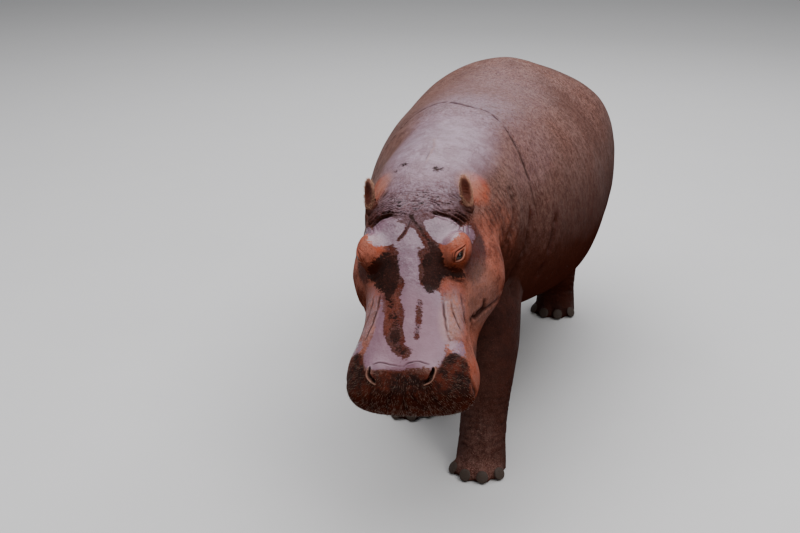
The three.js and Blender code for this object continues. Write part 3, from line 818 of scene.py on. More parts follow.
class Shade:
    """Builds the nodes of one material."""

    def __init__(self, name):
        self.material = bpy.data.materials.new(name)
        self.material.use_nodes = True
        self.tree = self.material.node_tree
        self.surface = self.tree.nodes["Principled BSDF"]
        self.place = self.node("ShaderNodeTexCoord").outputs["Object"]

    def node(self, kind, inputs=None, **settings):
        made = self.tree.nodes.new(kind)
        for name, value in settings.items():
            setattr(made, name, value)
        for name, value in (inputs or {}).items():
            self.put(made.inputs[name], value)
        return made

    def put(self, socket, value):
        if isinstance(value, bpy.types.NodeSocket):
            self.tree.links.new(value, socket)
        elif socket.type == "RGBA":
            socket.default_value = (*value[:3], 1)
        else:
            socket.default_value = value

    def mark(self, name):
        return self.node("ShaderNodeAttribute", attribute_name=name).outputs["Fac"]

    def maths(self, operation, *values, clamp=False):
        made = self.node("ShaderNodeMath", operation=operation, use_clamp=clamp)
        for socket, value in zip(made.inputs, values):
            self.put(socket, value)
        return made.outputs[0]

    def noise(self, scale, detail=3.0, stretch=(1, 1, 1), rough=0.55, at=None):
        moved = self.node("ShaderNodeMapping", {"Vector": at or self.place, "Scale": stretch})
        return self.node("ShaderNodeTexNoise", {
            "Vector": moved.outputs[0], "Scale": scale, "Detail": detail, "Roughness": rough,
        }).outputs["Fac"]

    def cells(self, scale, feature="DISTANCE_TO_EDGE", at=None):
        return self.node("ShaderNodeTexVoronoi", {
            "Vector": at or self.place, "Scale": scale,
        }, feature=feature).outputs["Distance"]

    def between(self, value, low, high, start=0.0, end=1.0):
        return self.node("ShaderNodeMapRange", {
            "Value": value, "From Min": low, "From Max": high, "To Min": start, "To Max": end,
        }, interpolation_type="SMOOTHSTEP").outputs[0]

    def mix(self, factor, first, second):
        made = self.node("ShaderNodeMix", data_type="RGBA")
        self.put(made.inputs[0], factor)
        self.put(made.inputs[6], first)
        self.put(made.inputs[7], second)
        return made.outputs[2]

    def bump(self, height, distance, strength=1.0, under=None):
        made = self.node("ShaderNodeBump", {
            "Height": height, "Distance": distance, "Strength": strength,
        })
        if under is not None:
            self.put(made.inputs["Normal"], under)
        return made.outputs[0]

    def finish(self, **sockets):
        for name, value in sockets.items():
            self.put(self.surface.inputs[name.replace("_", " ")], value)
        return self.material


def broken(shade, mark, ragged, low, high, spread):
    """A mark whose edge is ragged."""
    pushed = shade.maths("MULTIPLY_ADD", shade.maths("SUBTRACT", ragged, 0.5), spread, mark)
    return shade.between(pushed, low, high)


def hide_material(settings):
    """Wet bare skin: layers of colour one over another, each kept to its own mark; some layers are
    painted reflection of the sky and painted shade.
    """
    shade = Shade("wet_hide")
    palette = {key: tuple(getattr(settings, key)) for key in PALETTE}
    wide = shade.noise(5, 4)
    blotch = shade.noise(17, 4, rough=0.65)
    ragged = shade.maths("ADD", shade.maths("MULTIPLY", shade.noise(30, 4), 0.4), shade.maths(
        "MULTIPLY", shade.noise(130, 4, (0.45, 1.0, 1.0), rough=0.75), 0.6))
    mottle = shade.between(shade.noise(42, 4, (1.0, 1.0, 0.6), rough=0.75), 0.44, 0.6)
    fine = shade.noise(110, 5, rough=0.75)
    speck = shade.noise(320, 2)
    streak = shade.noise(95, 4, (1.0, 1.0, 0.3), rough=0.65)
    fold_shade = shade.mark("fold_shade")
    dotted = shade.between(fine, 0.54, 0.64)
    lit = shade.between(speck, 0.55, 0.68)

    def layer(under, amount, main, second, specks, light, strength=0.7):
        """A coat of colour in two tones with dark and light specks."""
        tone = shade.mix(shade.between(blotch, 0.4, 0.62), palette[main], palette[second])
        tone = shade.mix(shade.maths("MULTIPLY", dotted, strength), tone, palette[specks])
        tone = shade.mix(shade.maths("MULTIPLY", lit, strength * 0.6), tone, palette[light])
        return shade.mix(amount, under, tone)

    colour = shade.mix(shade.between(wide, 0.35, 0.65), palette["flank"], palette["back"])
    colour = shade.mix(shade.between(streak, 0.48, 0.64, 0, 0.7), colour, palette["brown"])
    colour = shade.mix(shade.maths("MULTIPLY", mottle, 0.8), colour, palette["brown"])
    colour = shade.mix(shade.maths("MULTIPLY", dotted, 0.9), colour, palette["ember"])
    colour = shade.mix(shade.maths("MULTIPLY", lit, 0.9), colour, palette["pink"])
    broad_dark = shade.between(shade.noise(2.6, 3, (1.0, 1.0, 0.5)), 0.46, 0.66, 0, 0.5)
    colour = shade.mix(broad_dark, colour, palette["brown"])
    # Painted shade on the lower body and legs.
    low = shade.mark("low")
    colour = layer(colour, low, "under", "shadow", "shadow", "blush", 0.4)
    cheek = broken(shade, shade.mark("cheek"), ragged, 0.1, 0.9, 0.6)
    colour = layer(colour, cheek, "cheek", "blush", "shadow", "pink")
    # Brown of the brow and the nose's middle, and painted shade along the body's folds.
    brown = broken(shade, shade.mark("brown"), ragged, 0.2, 0.7, 1.2)
    colour = layer(colour, brown, "brown", "ember", "shadow", "lilac_sheen", 0.9)
    warm = broken(shade, shade.mark("warm"), ragged, 0.1, 0.9, 0.8)
    colour = layer(colour, shade.maths("MULTIPLY", warm, 0.9), "warm", "cheek", "ember", "glow", 0.7)
    # Painted reflection of the sky, soft and streaked, on the forehead, cheeks, snout's sides and
    # back.
    sheen_veil = shade.maths("MULTIPLY", shade.mark("sheen_veil"), shade.between(ragged, 0.36, 0.56, 0.45, 1.0))
    sheen_veil = shade.maths("MULTIPLY", sheen_veil, shade.between(streak, 0.42, 0.66, 1.0, 0.35))
    colour = layer(colour, sheen_veil, "sheen", "lilac_sheen", "brown", "sheen", 0.5)
    # Painted reflection of the sky on the nape.
    nape_sheen = shade.maths("MULTIPLY", shade.mark("nape_sheen"), shade.between(ragged, 0.3, 0.6, 0.7, 0.95))
    colour = layer(colour, nape_sheen, "nape", "sheen", "brown", "pink", 0.35)
    # Painted reflection of the sky: pale lilac-grey laid into the colour; the bare mark takes it
    # away and the nose mark tints it pinker.
    shine = shade.maths("SUBTRACT", shade.mark("sheen"), shade.mark("bare"))
    sheen = broken(shade, shine, ragged, 0.42, 0.62, 3.2)
    colour = layer(colour, sheen, "sheen", "lilac_sheen", "lilac_sheen", "sheen", 0.5)
    nose = shade.maths("MULTIPLY", sheen, shade.mark("nose"))
    colour = shade.mix(shade.maths("MULTIPLY", nose, 0.6), colour, palette["nose"])
    # Dark patches and stripes: partly dark brown skin, partly painted shade.
    dark = broken(shade, shade.mark("dark"), ragged, 0.42, 0.62, 3.2)
    colour = layer(colour, dark, "shadow", "muzzle", "muzzle", "blush", 0.55)
    muzzle = broken(shade, shade.mark("muzzle"), ragged, 0.35, 0.65, 1.4)
    colour = layer(colour, muzzle, "muzzle", "ember", "muzzle", "blush", 0.8)
    # Pale rims of the lids and nostrils, the pale scar, pink behind the ears, and painted highlights
    # on the snout's sides, left cheek and orbits' tops.
    rim = shade.maths("MULTIPLY", shade.mark("rim"), shade.between(fine, 0.3, 0.6, 1.0, 0.6))
    colour = shade.mix(rim, colour, palette["rim"])
    ear = shade.mix(shade.between(blotch, 0.4, 0.6), palette["blush"], palette["cheek"])
    colour = shade.mix(shade.maths("MULTIPLY", shade.mark("ear"), 0.8), colour, ear)
    # Painted shade in the ear's hollow.
    inner = shade.maths("MULTIPLY", shade.mark("inner"), shade.between(blotch, 0.35, 0.6, 0.7, 1.0))
    colour = shade.mix(inner, colour, palette["ember"])
    colour = shade.mix(shade.maths("MULTIPLY", shade.mark("fringe"), 0.8), colour, palette["rim"])
    # Painted shade where the skin faces down.
    colour = shade.mix(shade.maths("MULTIPLY", shade.mark("shade"), 0.72), colour, palette["under"])
    # Painted shade in the folds, furrows, wrinkles and mouth.
    colour = shade.mix(shade.maths("MULTIPLY", fold_shade, 0.85), colour, palette["furrow"])
    # Painted shade inside the nostrils.
    colour = shade.mix(shade.mark("pit_shade"), colour, palette["hollow"])

    shiny = shade.maths("MAXIMUM", sheen, shade.maths("MULTIPLY", sheen_veil, 0.8))
    shiny = shade.maths("MAXIMUM", shiny, nape_sheen)
    shiny = shade.maths("MULTIPLY", shiny, shade.between(nose, 0, 1, 1, 0.6))
    calm = shade.maths("MAXIMUM", sheen, shade.maths("MULTIPLY", dark, 0.6))
    relief = shade.between(calm, 0, 1, 0.7, 0.22)
    grain = shade.bump(shade.cells(210), 0.0016, relief)
    pores = shade.bump(fine, 0.006, relief, grain)
    lines = shade.bump(streak, 0.006, relief, pores)
    broad = shade.bump(shade.noise(22, 3), 0.013, relief, lines)
    covered = shade.maths("MAXIMUM", shade.maths("MAXIMUM", dark, fold_shade), muzzle, clamp=True)
    shiny = shade.maths("MULTIPLY", shiny, shade.between(covered, 0, 1, 1, 0.1))
    rough = shade.maths("MULTIPLY_ADD", shiny, -0.44, shade.between(ragged, 0.35, 0.65, 0.6, 0.76))
    shaded = shade.mark("shade")
    gloss = shade.maths("MULTIPLY_ADD", shiny, settings.wetness, shade.between(
        shaded, 0, 0.8, 0.1, 0.0))
    glint = shade.maths("MULTIPLY", lit, shade.between(shaded, 0, 0.5, 0.5, 0))
    height = shade.node("ShaderNodeSeparateXYZ", {"Vector": shade.place}).outputs[2]
    glint = shade.maths("MULTIPLY", glint, shade.between(height, 0.75, 1.05))
    return shade.finish(
        Base_Color=colour, Roughness=rough, Normal=broad, Specular_IOR_Level=gloss,
        Coat_Weight=glint, Coat_Roughness=0.14,
    )


# Where the iris fades into the white of the eye, and the pupil into the iris, in metres.
IRIS_EDGE = (0.0125, 0.0145)
PUPIL_EDGE = (0.0075, 0.0085)


def eye_material(settings):
    """Brown iris and a wide dark pupil, round the piece's own Z axis."""
    shade = Shade("wet_eye")
    split = shade.node("ShaderNodeSeparateXYZ", {"Vector": shade.place})
    x, y = split.outputs[0], split.outputs[1]
    across, along = (shade.maths("MULTIPLY", value, value) for value in (x, y))
    radius = shade.maths("SQRT", shade.maths("ADD", across, along))
    turn = shade.maths("ARCTAN2", y, x)
    spokes = shade.node("ShaderNodeCombineXYZ", {"X": turn, "Y": radius}).outputs[0]
    rays = shade.noise(9, 3, at=spokes)
    iris = shade.mix(shade.between(rays, 0.35, 0.65), tuple(settings.iris), (0.006, 0.002, 0.001))
    limbus = shade.between(radius, *IRIS_EDGE)
    colour = shade.mix(limbus, iris, (0.05, 0.022, 0.016))
    oval = shade.maths("ADD", across, shade.maths("MULTIPLY", along, 3.0))
    pupil = shade.maths("SQRT", oval)
    colour = shade.mix(shade.between(pupil, *PUPIL_EDGE), (0.001, 0.001, 0.001), colour)
    return shade.finish(
        Base_Color=colour, Roughness=shade.between(rays, 0.2, 0.8, 0.05, 0.1),
        Specular_IOR_Level=0.3, Normal=shade.bump(rays, 0.0003, 0.2),
    )


def horn_material(settings):
    """Dull ringed horn."""
    shade = Shade("nail_horn")
    rings = shade.noise(90, 4, (1, 1, 5))
    chips = shade.noise(240, 3)
    colour = shade.mix(shade.between(rings, 0.35, 0.7), tuple(settings.nail), (0.052, 0.036, 0.028))
    colour = shade.mix(shade.between(chips, 0.62, 0.75, 0, 0.6), colour, (0.05, 0.03, 0.025))
    return shade.finish(
        Base_Color=colour, Roughness=shade.between(chips, 0.3, 0.7, 0.5, 0.7),
        Specular_IOR_Level=0.2, Normal=shade.bump(rings, 0.002, 0.4),
    )


def hair_material(name, root, tip, rough):
    """Hair that changes colour from root to tip, by the mark that its mesh carries."""
    shade = Shade(name)
    kind = shade.noise(120, 2)
    length = shade.mark("strand")
    colour = shade.mix(length, tuple(root), tuple(tip))
    dull = tuple(c * 0.5 for c in root)
    colour = shade.mix(shade.between(kind, 0.35, 0.7, 0, 0.45), colour, dull)
    return shade.finish(
        Base_Color=colour, Roughness=shade.between(kind, 0.3, 0.7, rough - 0.08, rough + 0.08),
    )


# ------------------------------------------------------------------ hair


def sample_roots(skin, name, count, seed, least=0.3):
    """Random places on the skin where a mark is strong: their points and normals."""
    rng = np.random.default_rng(seed)
    mesh = skin.data
    value = np.zeros(len(mesh.vertices), np.float32)
    mesh.attributes[name].data.foreach_get("value", value)
    mesh.calc_loop_triangles()
    corners = np.zeros(len(mesh.loop_triangles) * 3, int)
    mesh.loop_triangles.foreach_get("vertices", corners)
    corners = corners.reshape(-1, 3)
    corners = corners[value[corners].mean(axis=1) > least]
    points = np.zeros(len(mesh.vertices) * 3, np.float32)
    mesh.vertices.foreach_get("co", points)
    points = points.reshape(-1, 3).astype(float)
    normals = np.zeros(len(mesh.vertices) * 3, np.float32)
    mesh.vertex_normals.foreach_get("vector", normals)
    normals = normals.reshape(-1, 3).astype(float)
    a, b, c = (points[corners[:, k]] for k in range(3))
    area = np.linalg.norm(np.cross(b - a, c - a), axis=1) * value[corners].mean(axis=1)
    chosen = rng.choice(len(corners), count, p=area / area.sum())
    u, v = rng.random((2, count))
    flip = u + v > 1
    u[flip], v[flip] = 1 - u[flip], 1 - v[flip]
    roots = a[chosen] + (b - a)[chosen] * u[:, None] + (c - a)[chosen] * v[:, None]
    return roots, unit(normals[corners[chosen]].mean(axis=1))


def strands(name, roots, outward, lean, lengths, radius, seed, bend=0.5, sides=3, rings=4):
    """Tapered bristles as one mesh. They leave the skin along `outward` and bend to `lean`."""
    rng = np.random.default_rng(seed)
    count = len(roots)
    sunk = 2 * MM
    start = unit(outward + rng.normal(0, 0.22, (count, 3)))
    end = unit(start + bend * lean + rng.normal(0, 0.2, (count, 3)))
    t = np.linspace(0, 1, rings)
    turned = (t ** 2 / 2)[None, :, None]
    straight = t[None, :, None] - turned
    way = start[:, None] * straight + end[:, None] * turned
    spine = roots[:, None] - outward[:, None] * sunk + lengths[:, None, None] * way
    side = unit(np.cross(start, rng.normal(0, 1, (count, 3))))
    other = np.cross(start, side)
    points = []
    for k in range(sides):
        angle = 2 * math.pi * k / sides
        around = side * math.cos(angle) + other * math.sin(angle)
        width = radius * (1 - t[:-1]) ** 0.7 + radius * 0.12
        points.append(spine[:, :-1] + around[:, None] * width[None, :, None])
    rows = np.stack(points, axis=2).reshape(count, -1, 3)
    everything = np.concatenate([rows, spine[:, -1:]], axis=1)
    per = everything.shape[1]
    faces = []
    for r in range(rings - 2):
        for k in range(sides):
            low, high = r * sides + k, r * sides + (k + 1) % sides
            faces.append((low, high, high + sides, low + sides))
    last = (rings - 2) * sides
    caps = [(last + k, last + (k + 1) % sides, per - 1) for k in range(sides)]
    all_faces = [
        tuple(i * per + corner for corner in face) for i in range(count) for face in (*faces, *caps)
    ]
    mesh = mesh_from(name, everything.reshape(-1, 3), all_faces)
    strand = np.concatenate([np.repeat(t[:-1], sides), [1.0]])
    mesh.attributes.new("strand", "FLOAT", "POINT").data.foreach_set(
        "value", np.tile(strand, count).astype(np.float32)
    )
    mesh.polygons.foreach_set("use_smooth", np.ones(len(mesh.polygons), bool))
    return link(name, mesh), per


def lay_out(piece, per, roots, unwrap):
    """Maps each bristle to a small patch at its root's place on the unrolled skin."""
    patch = 0.003
    mesh = piece.data
    corner = np.zeros(len(mesh.loops), int)
    mesh.loops.foreach_get("vertex_index", corner)
    strand = np.zeros(len(mesh.vertices), np.float32)
    mesh.attributes["strand"].data.foreach_get("value", strand)
    place = unwrap(roots)[corner // per]
    shift = np.stack([(corner % per % 3) / 2, strand[corner]], axis=1) * patch
    layer = mesh.uv_layers.new(name="OFBake")
    layer.data.foreach_set("uv", (place + shift).astype(np.float32).ravel())


def unwrap_round(axis_point, axis, spread):
    """The skin round an axis rolled out flat: the turn about it, and the way along it."""
    axis = unit(np.array(axis, float))
    first = unit(np.cross(axis, [0.3, 1.0, 0.2]))
    second = np.cross(axis, first)

    def unwrap(points):
        arm = points - axis_point
        turn = np.arctan2(arm @ second, arm @ first) / (2 * math.pi) + 0.5
        along = np.clip((arm @ axis) / spread + 0.5, 0, 1)
        return np.stack([turn, along], axis=1) * 0.99

    return unwrap


# ------------------------------------------------------------------ settings


def colour_setting(name, text, value):
    """A colour that the panel shows."""
    return FloatVectorProperty(
        name=name, description=text, subtype="COLOR", size=3, min=0, max=1, default=value
    )


class HippoSkinSettings(PropertyGroup):
    voxel: FloatProperty(
        name="Skin grain", description="Side of the squares the skin is wrapped in",
        default=0.008, min=0.004, unit="LENGTH",
    )
    closing: FloatProperty(
        name="Closing", description="How far the solids are fattened to close the cuts",
        default=0.0015, min=0, unit="LENGTH",
    )
    inset: FloatProperty(
        name="Inset", description="How far the skin lies inside the solids",
        default=0.0005, min=0, unit="LENGTH",
    )
    fold_depth: FloatProperty(
        name="Fold depth", description="Depth of the folds and wrinkles", default=1.0, min=0,
    )
    wetness: FloatProperty(name="Wetness", description="Shine of the skin", default=0.6, min=0)
    back: colour_setting("Back", "Brown-grey of the back", (0.175, 0.094, 0.076))
    flank: colour_setting("Flank", "Red-brown of the flanks", (0.150, 0.068, 0.050))
    # The belly colour is also the painted shade of the lower body and of skin that faces down.
    under: colour_setting("Belly", "Dark red-brown of the belly and legs", (0.034, 0.008, 0.0045))
    pink: colour_setting("Specks", "Pink-grey specks", (0.380, 0.200, 0.170))
    cheek: colour_setting("Cheeks", "Pink-brown of the cheeks", (0.290, 0.082, 0.050))
    blush: colour_setting("Deep cheeks", "Red-brown of the cheeks", (0.140, 0.033, 0.018))
    # Also the colour of the painted shade along the shoulder's and neck's folds.
    brown: colour_setting("Brow", "Brown of the brow and the nose's middle", (0.062, 0.021, 0.014))
    # The pale skin, lilac, nape and pale nose colours are painted reflection of the sky on the wet
    # skin.
    sheen: colour_setting("Pale skin", "Grey of the brow, nose and nape", (0.190, 0.104, 0.136))
    lilac_sheen: colour_setting("Lilac skin", "Lilac in the pale skin", (0.140, 0.074, 0.098))
    nape: colour_setting("Nape", "Pale grey of the nape", (0.270, 0.180, 0.228))
    nose: colour_setting("Pale nose", "Pink-grey along the nose", (0.150, 0.056, 0.078))
    warm: colour_setting("Warm skin", "Orange round the eyes and ears", (0.290, 0.052, 0.021))
    glow: colour_setting("Warm specks", "Light orange specks", (0.420, 0.120, 0.062))
    # Also the colour of the painted shade in the ears' hollows.
    ember: colour_setting("Deep warm skin", "Darker orange-brown", (0.070, 0.012, 0.005))
    shadow: colour_setting("Dark skin", "Dark brown beside the snout", (0.020, 0.0045, 0.0025))
    muzzle: colour_setting("Muzzle", "Black-brown of the lips", (0.008, 0.002, 0.001))
    # Also the colour of the painted highlights on the snout's sides, left cheek and orbits' tops.
    rim: colour_setting("Rims", "Cream of the ear, eye and nostril rims", (0.400, 0.210, 0.150))
    # The furrow colour is painted shade in the folds.
    furrow: colour_setting("Furrows", "Dark inside the folds", (0.012, 0.003, 0.002))
    # The hollow colour is painted shade inside the nostrils.
    hollow: colour_setting("Hollows", "Dark of the nostrils", (0.014, 0.003, 0.002))


class HippoEyeSettings(PropertyGroup):
    iris: colour_setting("Iris", "Brown of the iris", (0.020, 0.007, 0.003))


class HippoNailSettings(PropertyGroup):
    nail: colour_setting("Nail", "Grey-brown of the nails", (0.040, 0.026, 0.019))


class HippoHairSettings(PropertyGroup):
    bristles: IntProperty(
        name="Bristles", description="Bristles on the muzzle", default=1900, min=0,
    )
    bristle_width: FloatProperty(
        name="Bristle width", description="Bristle at its root", default=0.0010, unit="LENGTH",
    )
    bristle_length: FloatProperty(
        name="Bristle length", description="Longest bristle on the lips", default=0.017,
        unit="LENGTH",
    )
    ear_hairs: IntProperty(name="Ear hairs", description="Hairs on each ear", default=420, min=0)
    tail_hairs: IntProperty(
        name="Tail hairs", description="Stiff hairs at the tail's tip", default=260, min=0,
    )
    bristle: colour_setting("Bristle", "Straw of the muzzle's bristles", (0.200, 0.105, 0.064))
    ear_hair: colour_setting("Ear hair", "Cream-orange hair of the ears", (0.520, 0.270, 0.150))
    tail_hair: colour_setting("Tail hair", "Black-brown hair of the tail", (0.020, 0.012, 0.008))


class HippoStageSettings(PropertyGroup):
    azimuth: FloatProperty(
        name="Azimuth", description="Camera, round from the front towards the left side",
        default=math.radians(15), subtype="ANGLE",
    )
    elevation: FloatProperty(
        name="Elevation", description="Camera above level", default=math.radians(21),
        subtype="ANGLE",
    )
    distance: FloatProperty(
        name="Distance", description="Camera to the face", default=5.0, unit="LENGTH",
    )
    floor: colour_setting("Floor", "Pale floor", (0.56, 0.555, 0.54))


# ------------------------------------------------------------------ pieces


class HIPPO_OT_skin(Operator):
    """Wraps the flesh in one skin, with its folds, lids, nostrils and markings"""

    bl_idname = "hippo.skin"
    bl_label = "Skin"

    def execute(self, context):
        settings = context.scene.hippo_skin
        hide = build_surface(settings)
        shape_skin(hide, settings)
        hide.settle()
        mark_skin(hide)
        for name, value in hide.marks.items():
            hide.mesh.attributes.new(name, "FLOAT", "POINT").data.foreach_set(
                "value", value.astype(np.float32)
            )
        hide.mesh.polygons.foreach_set("use_smooth", np.ones(len(hide.mesh.polygons), bool))
        skin = link("skin", hide.mesh)
        skin.data.materials.clear()
        skin.data.materials.append(hide_material(settings))
        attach(skin, "root")
        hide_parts(*FLESH)
        return {"FINISHED"}


class HIPPO_OT_eyes(Operator):
    """Puts a wet eyeball with iris and pupil behind each pair of lids"""

    bl_idname = "hippo.eyes"
    bl_label = "Eyes"

    def execute(self, context):
        material = eye_material(context.scene.hippo_eyes)
        for side in SIDES:
            low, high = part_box(f"eye_{side}")
            radius = (high.x - low.x) / 2
            work = bmesh.new()
            bmesh.ops.create_uvsphere(work, u_segments=48, v_segments=32, radius=radius - 0.0005)
            for vert in work.verts:
                if vert.co.z > radius * 0.82:
                    vert.co.z += (vert.co.z - radius * 0.82) * 0.35
            mesh = bpy.data.meshes.new(f"eyeball_{side}")
            work.to_mesh(mesh)
            work.free()
            mesh.polygons.foreach_set("use_smooth", np.ones(len(mesh.polygons), bool))
            mesh.materials.append(material)
            eye = link(f"eyeball_{side}", mesh)
            gaze = HEAD_AXES @ Vector(GAZE[side])
            eye.rotation_mode = "QUATERNION"
            eye.rotation_quaternion = gaze.to_track_quat("Z", "Y")
            eye.location = from_head(np.array(EYE[side]) * MM)
            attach(eye, "root")
            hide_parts(f"eye_{side}")
        return {"FINISHED"}


class HIPPO_OT_nails(Operator):
    """Rounds off the nail on each toe"""

    bl_idname = "hippo.nails"
    bl_label = "Nails"

    def execute(self, context):
        material = horn_material(context.scene.hippo_nails)
        for leg in LEGS:
            for toe in range(1, 5):
                node = f"nail_{leg}_{toe}"
                points, triangles = flesh_shape(node, 0.0)
                middle, way, half = nail_place(leg, toe)
                arm = points - middle
                points -= way * (0.5 * (arm @ way) + 0.4 * arm[:, 2] + 0.3 * half)[:, None]
                nail = link(f"hoof_{leg}_{toe}", mesh_from(node, points, triangles))
                smooth = nail.modifiers.new("smooth", "SUBSURF")
                smooth.levels = smooth.render_levels = 2
                ready = nail.evaluated_get(context.evaluated_depsgraph_get())
                rounded = bpy.data.meshes.new_from_object(ready)
                nail.modifiers.clear()
                nail.data = rounded
                rounded.polygons.foreach_set("use_smooth", np.ones(len(rounded.polygons), bool))
                rounded.materials.clear()
                rounded.materials.append(material)
                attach(nail, "root")
                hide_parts(node)
        return {"FINISHED"}


class HIPPO_OT_muzzle_bristles(Operator):
    """Sets short pale bristles on the lips"""

    bl_idname = "hippo.muzzle_bristles"
    bl_label = "Muzzle bristles"

    def execute(self, context):
        settings = context.scene.hippo_hair
        roots, outward = sample_roots(
            bpy.data.objects["skin"], "muzzle", settings.bristles, 7, 0.55
        )
        rng = np.random.default_rng(8)
        lengths = settings.bristle_length * rng.uniform(0.45, 1.0, len(roots))
        fan = roots - head_line([(0, -440, 60)])
        fan = unit(fan - outward * np.einsum("ij,ij->i", fan, outward)[:, None])
        rise_from = unit(outward * 0.5 + fan)
        piece, per = strands(
            "muzzle_bristles", roots, rise_from, fan, lengths, settings.bristle_width / 2, 9,
            bend=0.8,
        )
        axis_at = from_head(np.array([[0, -300, -150]]) * MM)[0]
        lay_out(piece, per, roots, unwrap_round(axis_at, AXES @ np.array([0, 1.0, 0]), 0.8))
        piece.data.materials.append(hair_material(
            "straw_bristle", tuple(c * 0.35 for c in settings.bristle), settings.bristle, 0.4
        ))
        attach(piece, "root")
        return {"FINISHED"}


class HIPPO_OT_ear_hair(Operator):
    """Fringes the ears with short cream hair"""

    bl_idname = "hippo.ear_hair"
    bl_label = "Ear hair"

    def execute(self, context):
        settings = context.scene.hippo_hair
        skin = bpy.data.objects["skin"]
        material = hair_material(
            "ear_fringe", tuple(c * 0.6 for c in settings.ear_hair), settings.ear_hair, 0.5
        )
        roots, outward = sample_roots(skin, "fringe", settings.ear_hairs * 2, 17, 0.4)
        for side in SIDES:
            mine = roots[:, 0] * SIDES[side] > 0
            low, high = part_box(f"ear_{side}")
            middle = np.array((low + high) / 2)
            tall = unit(AXES @ unit(np.array(mirrored((-0.07, 0.65, 0.76), side))))
            rng = np.random.default_rng(18)
            lengths = 0.013 * rng.uniform(0.4, 1.0, mine.sum())
            piece, per = strands(
                f"ear_hair_{side}", roots[mine], outward[mine], np.tile(tall, (mine.sum(), 1)),
                lengths, 0.0007, 19, bend=1.4,
            )
            lay_out(piece, per, roots[mine], unwrap_round(middle, tall, 0.2))
            piece.data.materials.append(material)
            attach(piece, "root")
        return {"FINISHED"}


class HIPPO_OT_tail_hair(Operator):
    """Puts a thin brush of stiff hair on the edges of the tail's tip"""

    bl_idname = "hippo.tail_hair"
    bl_label = "Tail hair"

    def execute(self, context):
        settings = context.scene.hippo_hair
        skin = bpy.data.objects["skin"].data
        low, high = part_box("tail")
        points = np.array([v.co for v in skin.vertices])
        normals = np.zeros(len(points) * 3, np.float32)
        skin.vertex_normals.foreach_get("vector", normals)
        normals = normals.reshape(-1, 3).astype(float)
        tip = np.flatnonzero(
            (points[:, 1] > low.y + 0.06) & (points[:, 2] < low.z + 0.13)
            & (points[:, 2] > low.z - 0.02) & (np.abs(points[:, 0]) < 0.06)
        )
        rng = np.random.default_rng(23)
        chosen = rng.choice(tip, settings.tail_hairs)
        roots, outward = points[chosen], normals[chosen]
        lean = np.tile([0.0, 0.12, -1.0], (len(roots), 1))
        lengths = rng.uniform(0.02, 0.055, len(roots))
        piece, per = strands(
            "tail_brush", roots, outward * 0.4, lean, lengths, 0.0008, 24, bend=2.5
        )
        lay_out(piece, per, roots, unwrap_round(np.array((low + high) / 2), (0, 0, 1), 0.6))
        piece.data.materials.append(hair_material(
            "tail_bristle", settings.tail_hair, tuple(c * 2 for c in settings.tail_hair), 0.42
        ))
        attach(piece, "root")
        return {"FINISHED"}


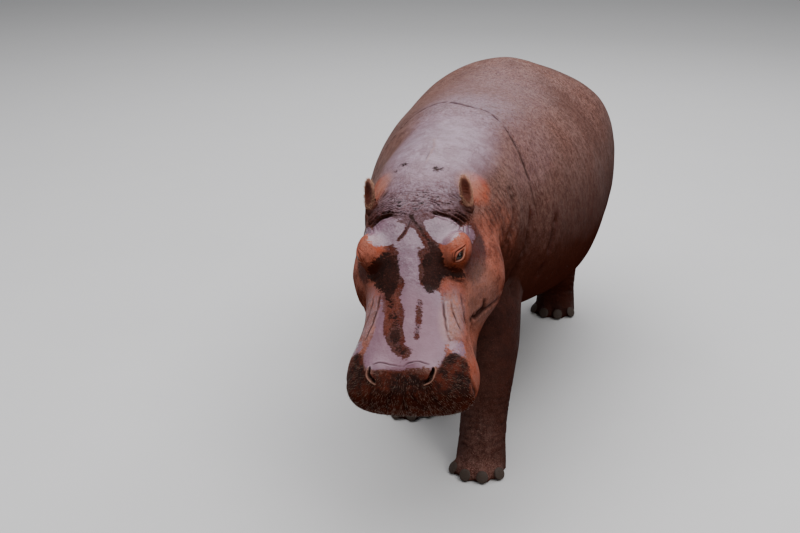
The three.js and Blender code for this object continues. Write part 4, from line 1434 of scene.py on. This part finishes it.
class HIPPO_OT_stage(Operator):
    """Lays the floor, hangs the lights and sets the camera"""

    bl_idname = "hippo.stage"
    bl_label = "Floor, lights and camera"

    def execute(self, context):
        settings = context.scene.hippo_stage
        scene = context.scene
        floor = link("floor", mesh_from("floor", [
            (-14, -12, 0), (14, -12, 0), (14, 22, 0), (-14, 22, 0)
        ], [(0, 1, 2, 3)]))
        shade = Shade("floor_paint")
        patch = shade.noise(1.2, 4)
        colour = shade.mix(patch, tuple(settings.floor), tuple(c * 0.93 for c in settings.floor))
        floor.data.materials.append(shade.finish(
            Base_Color=colour, Roughness=shade.between(patch, 0.3, 0.7, 0.75, 0.85),
        ))

        world = bpy.data.worlds.new("studio")
        world.use_nodes = True
        background = world.node_tree.nodes["Background"]
        background.inputs["Color"].default_value = (0.80, 0.83, 0.88, 1)
        background.inputs["Strength"].default_value = 0.2
        scene.world = world

        for name, place, aim, size, power, colour in (
            ("sky_panel", (0, 0.5, 6.5), (0, 0.5, 0), (10.0, 12.0), 1350, (0.96, 0.96, 1.0)),
            ("back_panel", (-0.6, 6.5, 3.8), (0, -0.3, 1.0), (5.0, 2.0), 60, (0.92, 0.92, 1.0)),
            ("key_panel", (3.2, -3.6, 3.0), (0, -0.6, 0.8), (1.6, 1.6), 60, (1.0, 0.96, 0.92)),
        ):
            light = bpy.data.lights.new(name, "AREA")
            light.shape = "RECTANGLE"
            light.size, light.size_y = size
            light.energy = power
            light.color = colour
            lamp = bpy.data.objects.new(name, light)
            scene.collection.objects.link(lamp)
            lamp.location = place
            aim_at = Vector(aim) - Vector(place)
            lamp.rotation_euler = aim_at.to_track_quat("-Z", "Y").to_euler()

        turn, tilt = settings.azimuth, settings.elevation
        back = Vector((
            math.sin(turn) * math.cos(tilt), -math.cos(turn) * math.cos(tilt), math.sin(tilt)
        ))
        right = Vector((math.cos(turn), math.sin(turn), 0))
        up = back.cross(right)
        sensor, width, height, focal = 36.0, 800, 533, 1400
        face = Vector((0.025, -1.10025, 1.085))
        across, over = (414 - width / 2) / focal, (height / 2 - 246) / focal
        camera = bpy.data.objects.new("camera", bpy.data.cameras.new("camera"))
        camera.data.sensor_width = sensor
        camera.data.lens = focal * sensor / width
        camera.data.clip_end = 100
        camera.location = face - (right * across + up * over - back).normalized() * settings.distance
        camera.rotation_euler = Matrix((right, up, back)).transposed().to_euler()
        scene.collection.objects.link(camera)
        scene.camera = camera
        return {"FINISHED"}


PIECES = (
    HIPPO_OT_stage, HIPPO_OT_skin, HIPPO_OT_eyes, HIPPO_OT_nails, HIPPO_OT_muzzle_bristles,
    HIPPO_OT_ear_hair, HIPPO_OT_tail_hair,
)


class HIPPO_PT_panel(Panel):
    bl_label = "Hippopotamus"
    bl_idname = "HIPPO_PT_panel"
    bl_space_type = "VIEW_3D"
    bl_region_type = "UI"
    bl_category = "Hippopotamus"

    def draw(self, context):
        for piece in PIECES:
            self.layout.operator(piece.bl_idname)
        for name in GROUPS:
            settings = getattr(context.scene, name)
            box = self.layout.box()
            for key in settings.bl_rna.properties.keys():
                if key not in ("rna_type", "name"):
                    box.prop(settings, key)


GROUPS = {
    "hippo_skin": HippoSkinSettings,
    "hippo_eyes": HippoEyeSettings,
    "hippo_nails": HippoNailSettings,
    "hippo_hair": HippoHairSettings,
    "hippo_stage": HippoStageSettings,
}
CLASSES = (*GROUPS.values(), *PIECES, HIPPO_PT_panel)


def register():
    for cls in CLASSES:
        bpy.utils.register_class(cls)
    for name, group in GROUPS.items():
        setattr(bpy.types.Scene, name, PointerProperty(type=group))


def unregister():
    for name in GROUPS:
        delattr(bpy.types.Scene, name)
    for cls in reversed(CLASSES):
        bpy.utils.unregister_class(cls)


def main():
    register()
    for piece in PIECES:
        module, name = piece.bl_idname.split(".")
        getattr(getattr(bpy.ops, module), name)()
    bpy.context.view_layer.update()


if __name__ == "__main__":
    main()
